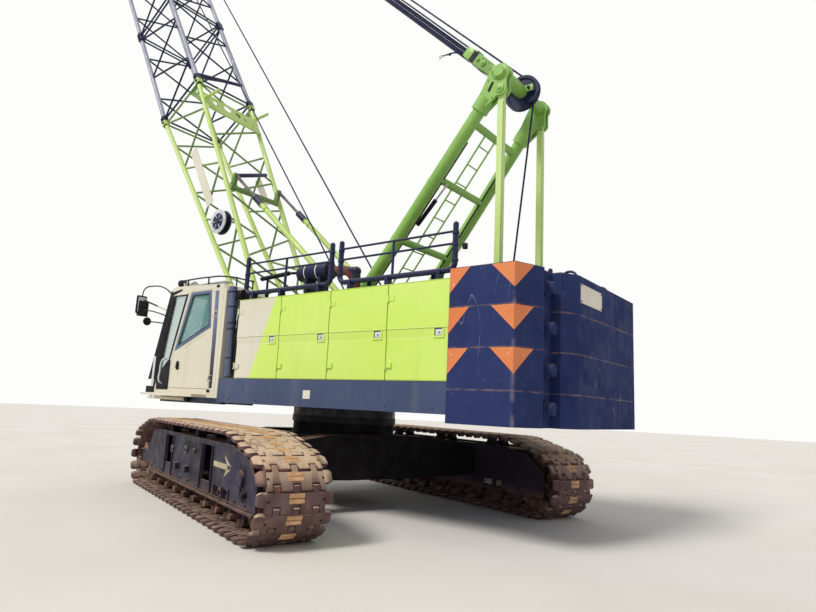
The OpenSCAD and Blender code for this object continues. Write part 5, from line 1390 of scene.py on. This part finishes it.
def frame_dress(side):
    parts = Kit()
    # Arrow: a shaft with two barbs, painted through a stencil
    arrow = (rectangle((-1.60, 0.636), (-1.139, 0.694)),
             [(-1.748, 0.665), (-1.56, 0.700), (-1.455, 0.815), (-1.500, 0.822), (-1.66, 0.705)],
             [(-1.748, 0.665), (-1.56, 0.630), (-1.470, 0.505), (-1.515, 0.500), (-1.66, 0.625)])
    for shape in arrow:
        parts.add(frame_plate(shape, 0.0012, 0, side, 0.0003), stencil)
    parts.add(frame_rod(-2.05, 0.668, 0.098, 0.010, side, 36, 0.003))
    # Painted shade: a black disc on the boss for the shade in its round hole
    parts.add(frame_rod(-2.05, 0.668, 0.078, 0.003, side, 36, 0, 0.010), black_trim)
    for x, z, r in ((-0.04, 0.731, 0.05), (-0.40, 0.74, 0.035), (0.60, 0.69, 0.05)):
        parts.add(frame_rod(x, z, r, 0.028, side, 28, 0.006), bare_steel)
        parts.add(frame_rod(x, z, r * 0.5, 0.04, side, 20, 0.004))
    # Painted shade: a black plate for the shade in a recess of the frame plate
    hollow_shade = [(-0.644, 0.737), (0.148, 0.725), (0.021, 0.838), (-0.595, 0.862)]
    parts.add(frame_plate(hollow_shade, 0.002, 0, side, 0.0003), black_trim)
    # Ribs beside the slots and along the plate's foot
    for x in (-1.09, -0.68, 0.61, 0.99, -1.50, -1.23, -1.71):
        z0, z1 = (0.33, 0.86) if x > -1.2 else (0.30, 0.45)
        parts.add(frame_plate(rectangle((x - 0.012, z0), (x + 0.012, z1)), 0.018, 0.004, side))
    parts.add(frame_plate(rectangle((-2.3, 0.315), (1.78, 0.327)), 0.012, 0.003, side))
    for x in (-2.2, -1.9, -1.35, -0.6, -0.2, 0.15, 0.5, 1.1, 1.4, 1.7):
        head = bolt((x, side * FRAME_FACE, 0.36), (0, side, 0), 0.015, 0.012)
        head.data.transform(turned(TRACK_TURN))
        parts.add(head)
    parts.add(frame_rod(-2.189, 0.456, 0.034, 0.05, side, 16, 0.008), black_trim)
    # Grease hose behind the rear idler
    path = ((-2.08, 0.01, 0.60), (-2.13, 0.03, 0.53), (-2.12, 0.03, 0.45), (-2.18, 0.02, 0.39))
    hose = pipe("hose", [(x, side * (FRAME_FACE + out), z) for x, out, z in path], 0.011, 8)
    hose.data.transform(turned(TRACK_TURN))
    parts.add(hose, black_trim)
    return gather("track_frame_dress_" + ("left" if side > 0 else "right"), parts, frame_paint,
                  "undercarriage")


frame_dress(1)
frame_dress(-1)

# Winches: rope wound on the hoist drums, motors and hoses
FRONT_DRUM_X = -0.4
REAR_DRUM_X = -1.33
BOOM_DRUM_X = -2.42
DRUM_Z = 2.22
DRUM_HALF = 0.355
TURN_PITCH = 0.023


def drum_rope(name, x, body):
    """Rope turns that lie side by side on a drum"""
    parts = Kit()
    turn = rod("turn", (x, -0.011, DRUM_Z), (x, 0.011, DRUM_Z), 0.214, 40, 0.008)
    for k in range(int(2 * DRUM_HALF / TURN_PITCH)):
        parts.add(copy_of(turn, Matrix.Translation((0, (k + 0.5) * TURN_PITCH - DRUM_HALF, 0))))
    bpy.data.objects.remove(turn)
    return gather(name, parts, rope_steel, body)


def winch_hoses():
    parts = Kit()
    for x in (FRONT_DRUM_X, REAR_DRUM_X, BOOM_DRUM_X):
        for dx in (-0.06, 0.0, 0.06):
            path = ((1, -0.40, 2.13), (1, -0.43, 2.02), (1.2, -0.42, 1.88), (1.5, -0.40, 1.72))
            parts.add(pipe("hose", [(x + dx * share, y, z) for share, y, z in path], 0.016, 8))
        parts.add(rod("motor", (x, 0.36, DRUM_Z), (x, 0.452, DRUM_Z), 0.09, 24, 0.012), slate_paint)
    return gather("winch_hoses", parts, black_trim, "upperworks")


drum_rope("front_winch_rope", FRONT_DRUM_X, "front_winch")
drum_rope("rear_winch_rope", REAR_DRUM_X, "rear_winch")
winch_hoses()

# Cab interior: cushioned seat, levers, monitor and consoles
SEAT_Y = 1.0775
SEAT_FLOOR = 1.4463
SEAT_LEAN = math.radians(-5.5)
TUFT_STEP = 0.034


def cushion(name, low, high, crown, way, tufts):
    """A stuffed pad: a box divided, swollen on its outer face, drawn in along its stitched seams"""
    deselect()
    low, high = Vector(low), Vector(high)
    bpy.ops.mesh.primitive_cube_add(size=1, location=(low + high) / 2, scale=high - low)
    pad = settle(name)
    edit(pad)
    for axis in range(3):
        span = high[axis] - low[axis]
        steps = max(int(span / TUFT_STEP), 2)
        cut(axis, [low[axis] + span * k / steps for k in range(1, steps)])
    done()
    middle, half, way = (low + high) / 2, (high - low) / 2, Vector(way)
    flat = [k for k in range(3) if abs(way[k]) < 0.5]
    edit(pad, "VERT")
    shape = bmesh.from_edit_mesh(pad.data)
    for v in shape.verts:
        d = v.co - middle
        u, w = (d[k] / half[k] for k in flat)
        if d.dot(way) > 0.2 * abs(half.dot(way)):
            swell = (1 - u ** 4) * (1 - w ** 4)
            seam = min(abs(u * tufts - round(u * tufts)), 0.5)
            v.co += way * crown * swell * (1 - 0.9 * max(0.0, 1 - seam * 3))
    bmesh.update_edit_mesh(pad.data)
    done()
    modify(pad, "SUBSURF", levels=1, render_levels=1)
    return smooth(pad, 80)


def leaning_pad(name, foot_x, foot_z, thick, half_w, height, crown, tufts):
    """A back or head pad that leans back with the seat"""
    pad = cushion(name, (0, -half_w, 0), (thick, half_w, height), crown, (1, 0, 0), tufts)
    pad.data.transform(Matrix.Translation(seat_spot(foot_x, 0, foot_z)) @ Matrix.Rotation(SEAT_LEAN, 4, "Y"))
    return pad


def seat_spot(x, y, z):
    """A point given forward, sideways from the seat's middle and up from the cab's floor"""
    return (x, SEAT_Y + y, SEAT_FLOOR + z)


def seat_rod(name, a, b, radius, sides, bevel=0.0, top=None):
    return rod(name, seat_spot(*a), seat_spot(*b), radius, sides, bevel, top)


def seat_block(name, low, high, bevel, segments=2):
    return block(name, seat_spot(*low), seat_spot(*high), bevel, segments)


def seat_pads():
    """The stuffed pads: seat, back and head"""
    low, high = seat_spot(1.645, -0.205, 0.325), seat_spot(2.125, 0.205, 0.43)
    parts = [cushion("seat_pad", low, high, 0.028, (0, 0, 1), 2),
             leaning_pad("back_pad", 1.635, 0.415, 0.085, 0.195, 0.66, 0.03, 2),
             leaning_pad("head_pad", 1.58, 1.06, 0.07, 0.12, 0.14, 0.02, 1)]
    pads = gather("seat_pads", parts, seat_cloth, "upperworks")
    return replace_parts(pads, "cab_seat")


def seat_frame():
    """Suspension bellows, side consoles, arm rests, levers and buttons"""
    parts = Kit([seat_block("seat_base", (1.70, -0.17, 0), (2.08, 0.17, 0.32), 0.02, 3)])
    for z in (0.05, 0.10, 0.15, 0.20, 0.25):
        parts.add(seat_block("bellows", (1.69, -0.18, z), (2.09, 0.18, z + 0.022), 0.01))
    for side in SIDES:
        y = side * 0.25
        parts.add(seat_block("console", (1.72, y - 0.05, 0.33), (2.23, y + 0.05, 0.555), 0.02, 3),
                  slate_paint)
        parts.add(seat_block("arm_rest", (1.72, y - 0.045, 0.553), (2.0, y + 0.045, 0.598), 0.018, 4))
        stick = ((2.16, 0.55), (2.165, 0.64), (2.18, 0.70))
        parts.add(pipe("lever", [seat_spot(x, y, z) for x, z in stick], 0.012))
        parts.add(seat_rod("lever_knob", (2.178, y, 0.68), (2.186, y, 0.74), 0.024, 16, 0.008))
        parts.add(seat_rod("gaiter", (2.16, y, 0.55), (2.16, y, 0.60), 0.04, 16, 0.004, 0.018))
        for x in (2.06, 2.085, 2.11, 2.135):
            parts.add(seat_rod("button", (x, y, 0.553), (x, y, 0.562), 0.007, 10), latch_plate)
    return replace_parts(gather("seat_frame", parts, black_trim, "upperworks"), "cab_seat")


def dashboard():
    parts = Kit([seat_block("dash", (2.56, -0.18, 0), (2.72, 0.18, 0.64), 0.03, 3)])
    parts.add(seat_block("tunnel", (2.07, -0.06, 0), (2.57, 0.06, 0.06), 0.01))
    parts.add(seat_block("monitor", (2.60, -0.13, 0.66), (2.64, 0.13, 0.86), 0.012, 3), black_trim)
    parts.add(seat_block("monitor_face", (2.597, -0.11, 0.685), (2.601, 0.11, 0.84), 0.0015), slate_glass)
    parts.add(seat_rod("monitor_arm", (2.63, 0, 0.62), (2.625, 0, 0.68), 0.015, 12))
    for y in (-0.09, 0.09):
        parts.add(seat_block("pedal", (2.42, y - 0.05, 0.07), (2.54, y + 0.05, 0.085), 0.006), black_trim)
        parts.add(seat_rod("pedal_lever", (2.50, y, 0.08), (2.56, y, 0.45), 0.01, 10), latch_plate)
    parts.add(seat_block("floor_mat", (1.50, -0.2775, -0.002), (2.86, 0.2825, 0.006), 0.003), black_trim)
    return gather("cab_controls", parts, slate_paint, "upperworks")


seat_pads()
seat_frame()
dashboard()

# Stage, light and camera
deselect()
bpy.ops.mesh.primitive_circle_add(vertices=96, radius=60, fill_type="NGON", location=(0, 0, 0))
floor = settle("studio_floor")
ground = Finish("studio_floor_finish", (226, 220, 212), 0.9)
ground.over((232, 227, 220), ground.patchy(0.5, 0.35, 0.65))
floor.data.materials.append(ground.finish())

world = bpy.data.worlds.new("studio_light")
bpy.context.scene.world = world
world.use_nodes = True
tree = world.node_tree
sky = tree.nodes["Background"]
sky.inputs["Color"].default_value = (0.93, 0.96, 1.0, 1.0)
sky.inputs["Strength"].default_value = 0.5
white = tree.nodes.new("ShaderNodeBackground")
white.inputs["Color"].default_value = (0.985, 0.99, 0.975, 1.0)
rays = tree.nodes.new("ShaderNodeLightPath").outputs


def either(a, b):
    """1 where one of two ray kinds is met"""
    made = tree.nodes.new("ShaderNodeMath")
    made.operation = "MAXIMUM"
    tree.links.new(a, made.inputs[0])
    tree.links.new(b, made.inputs[1])
    return made.outputs[0]


seen = either(rays["Is Camera Ray"], either(rays["Is Glossy Ray"], rays["Is Transmission Ray"]))
mixed = tree.nodes.new("ShaderNodeMixShader")
for source, socket in zip((seen, sky.outputs[0], white.outputs[0]), mixed.inputs):
    tree.links.new(source, socket)
tree.links.new(mixed.outputs[0], tree.nodes["World Output"].inputs["Surface"])

sun = bpy.data.lights.new("soft_key", "SUN")
sun.energy = 2.2
sun.angle = math.radians(18)
sun.color = (1.0, 0.97, 0.92)
key = bpy.data.objects.new("soft_key", sun)
key.rotation_mode = "QUATERNION"
key.rotation_quaternion = Vector((0.22, 0.74, 0.86)).to_track_quat("Z", "Y")
bpy.context.scene.collection.objects.link(key)

CAMERA_AT = Vector((-6.426, 6.922, 1.399))
SENSOR_W = 36
FOCAL_PIXELS = 604.057
PICTURE_PIXELS = 816
yaw, pitch, roll = (math.radians(v) for v in (-52.531, 9.509, 2.745))
ahead = Vector((math.cos(pitch) * math.cos(yaw), math.cos(pitch) * math.sin(yaw), math.sin(pitch)))
right = ahead.cross(Vector((0, 0, 1))).normalized()
up = right.cross(ahead)
right, up = right * math.cos(roll) + up * math.sin(roll), up * math.cos(roll) - right * math.sin(roll)
lens = bpy.data.cameras.new("photo_view")
lens.sensor_width = SENSOR_W
lens.lens = SENSOR_W * FOCAL_PIXELS / PICTURE_PIXELS
camera = bpy.data.objects.new("photo_view", lens)
bpy.context.scene.collection.objects.link(camera)
pose = Matrix((right, up, -ahead)).transposed().to_4x4()
pose.translation = CAMERA_AT
camera.matrix_world = pose
bpy.context.scene.camera = camera
bpy.context.scene.view_settings.view_transform = "Standard"
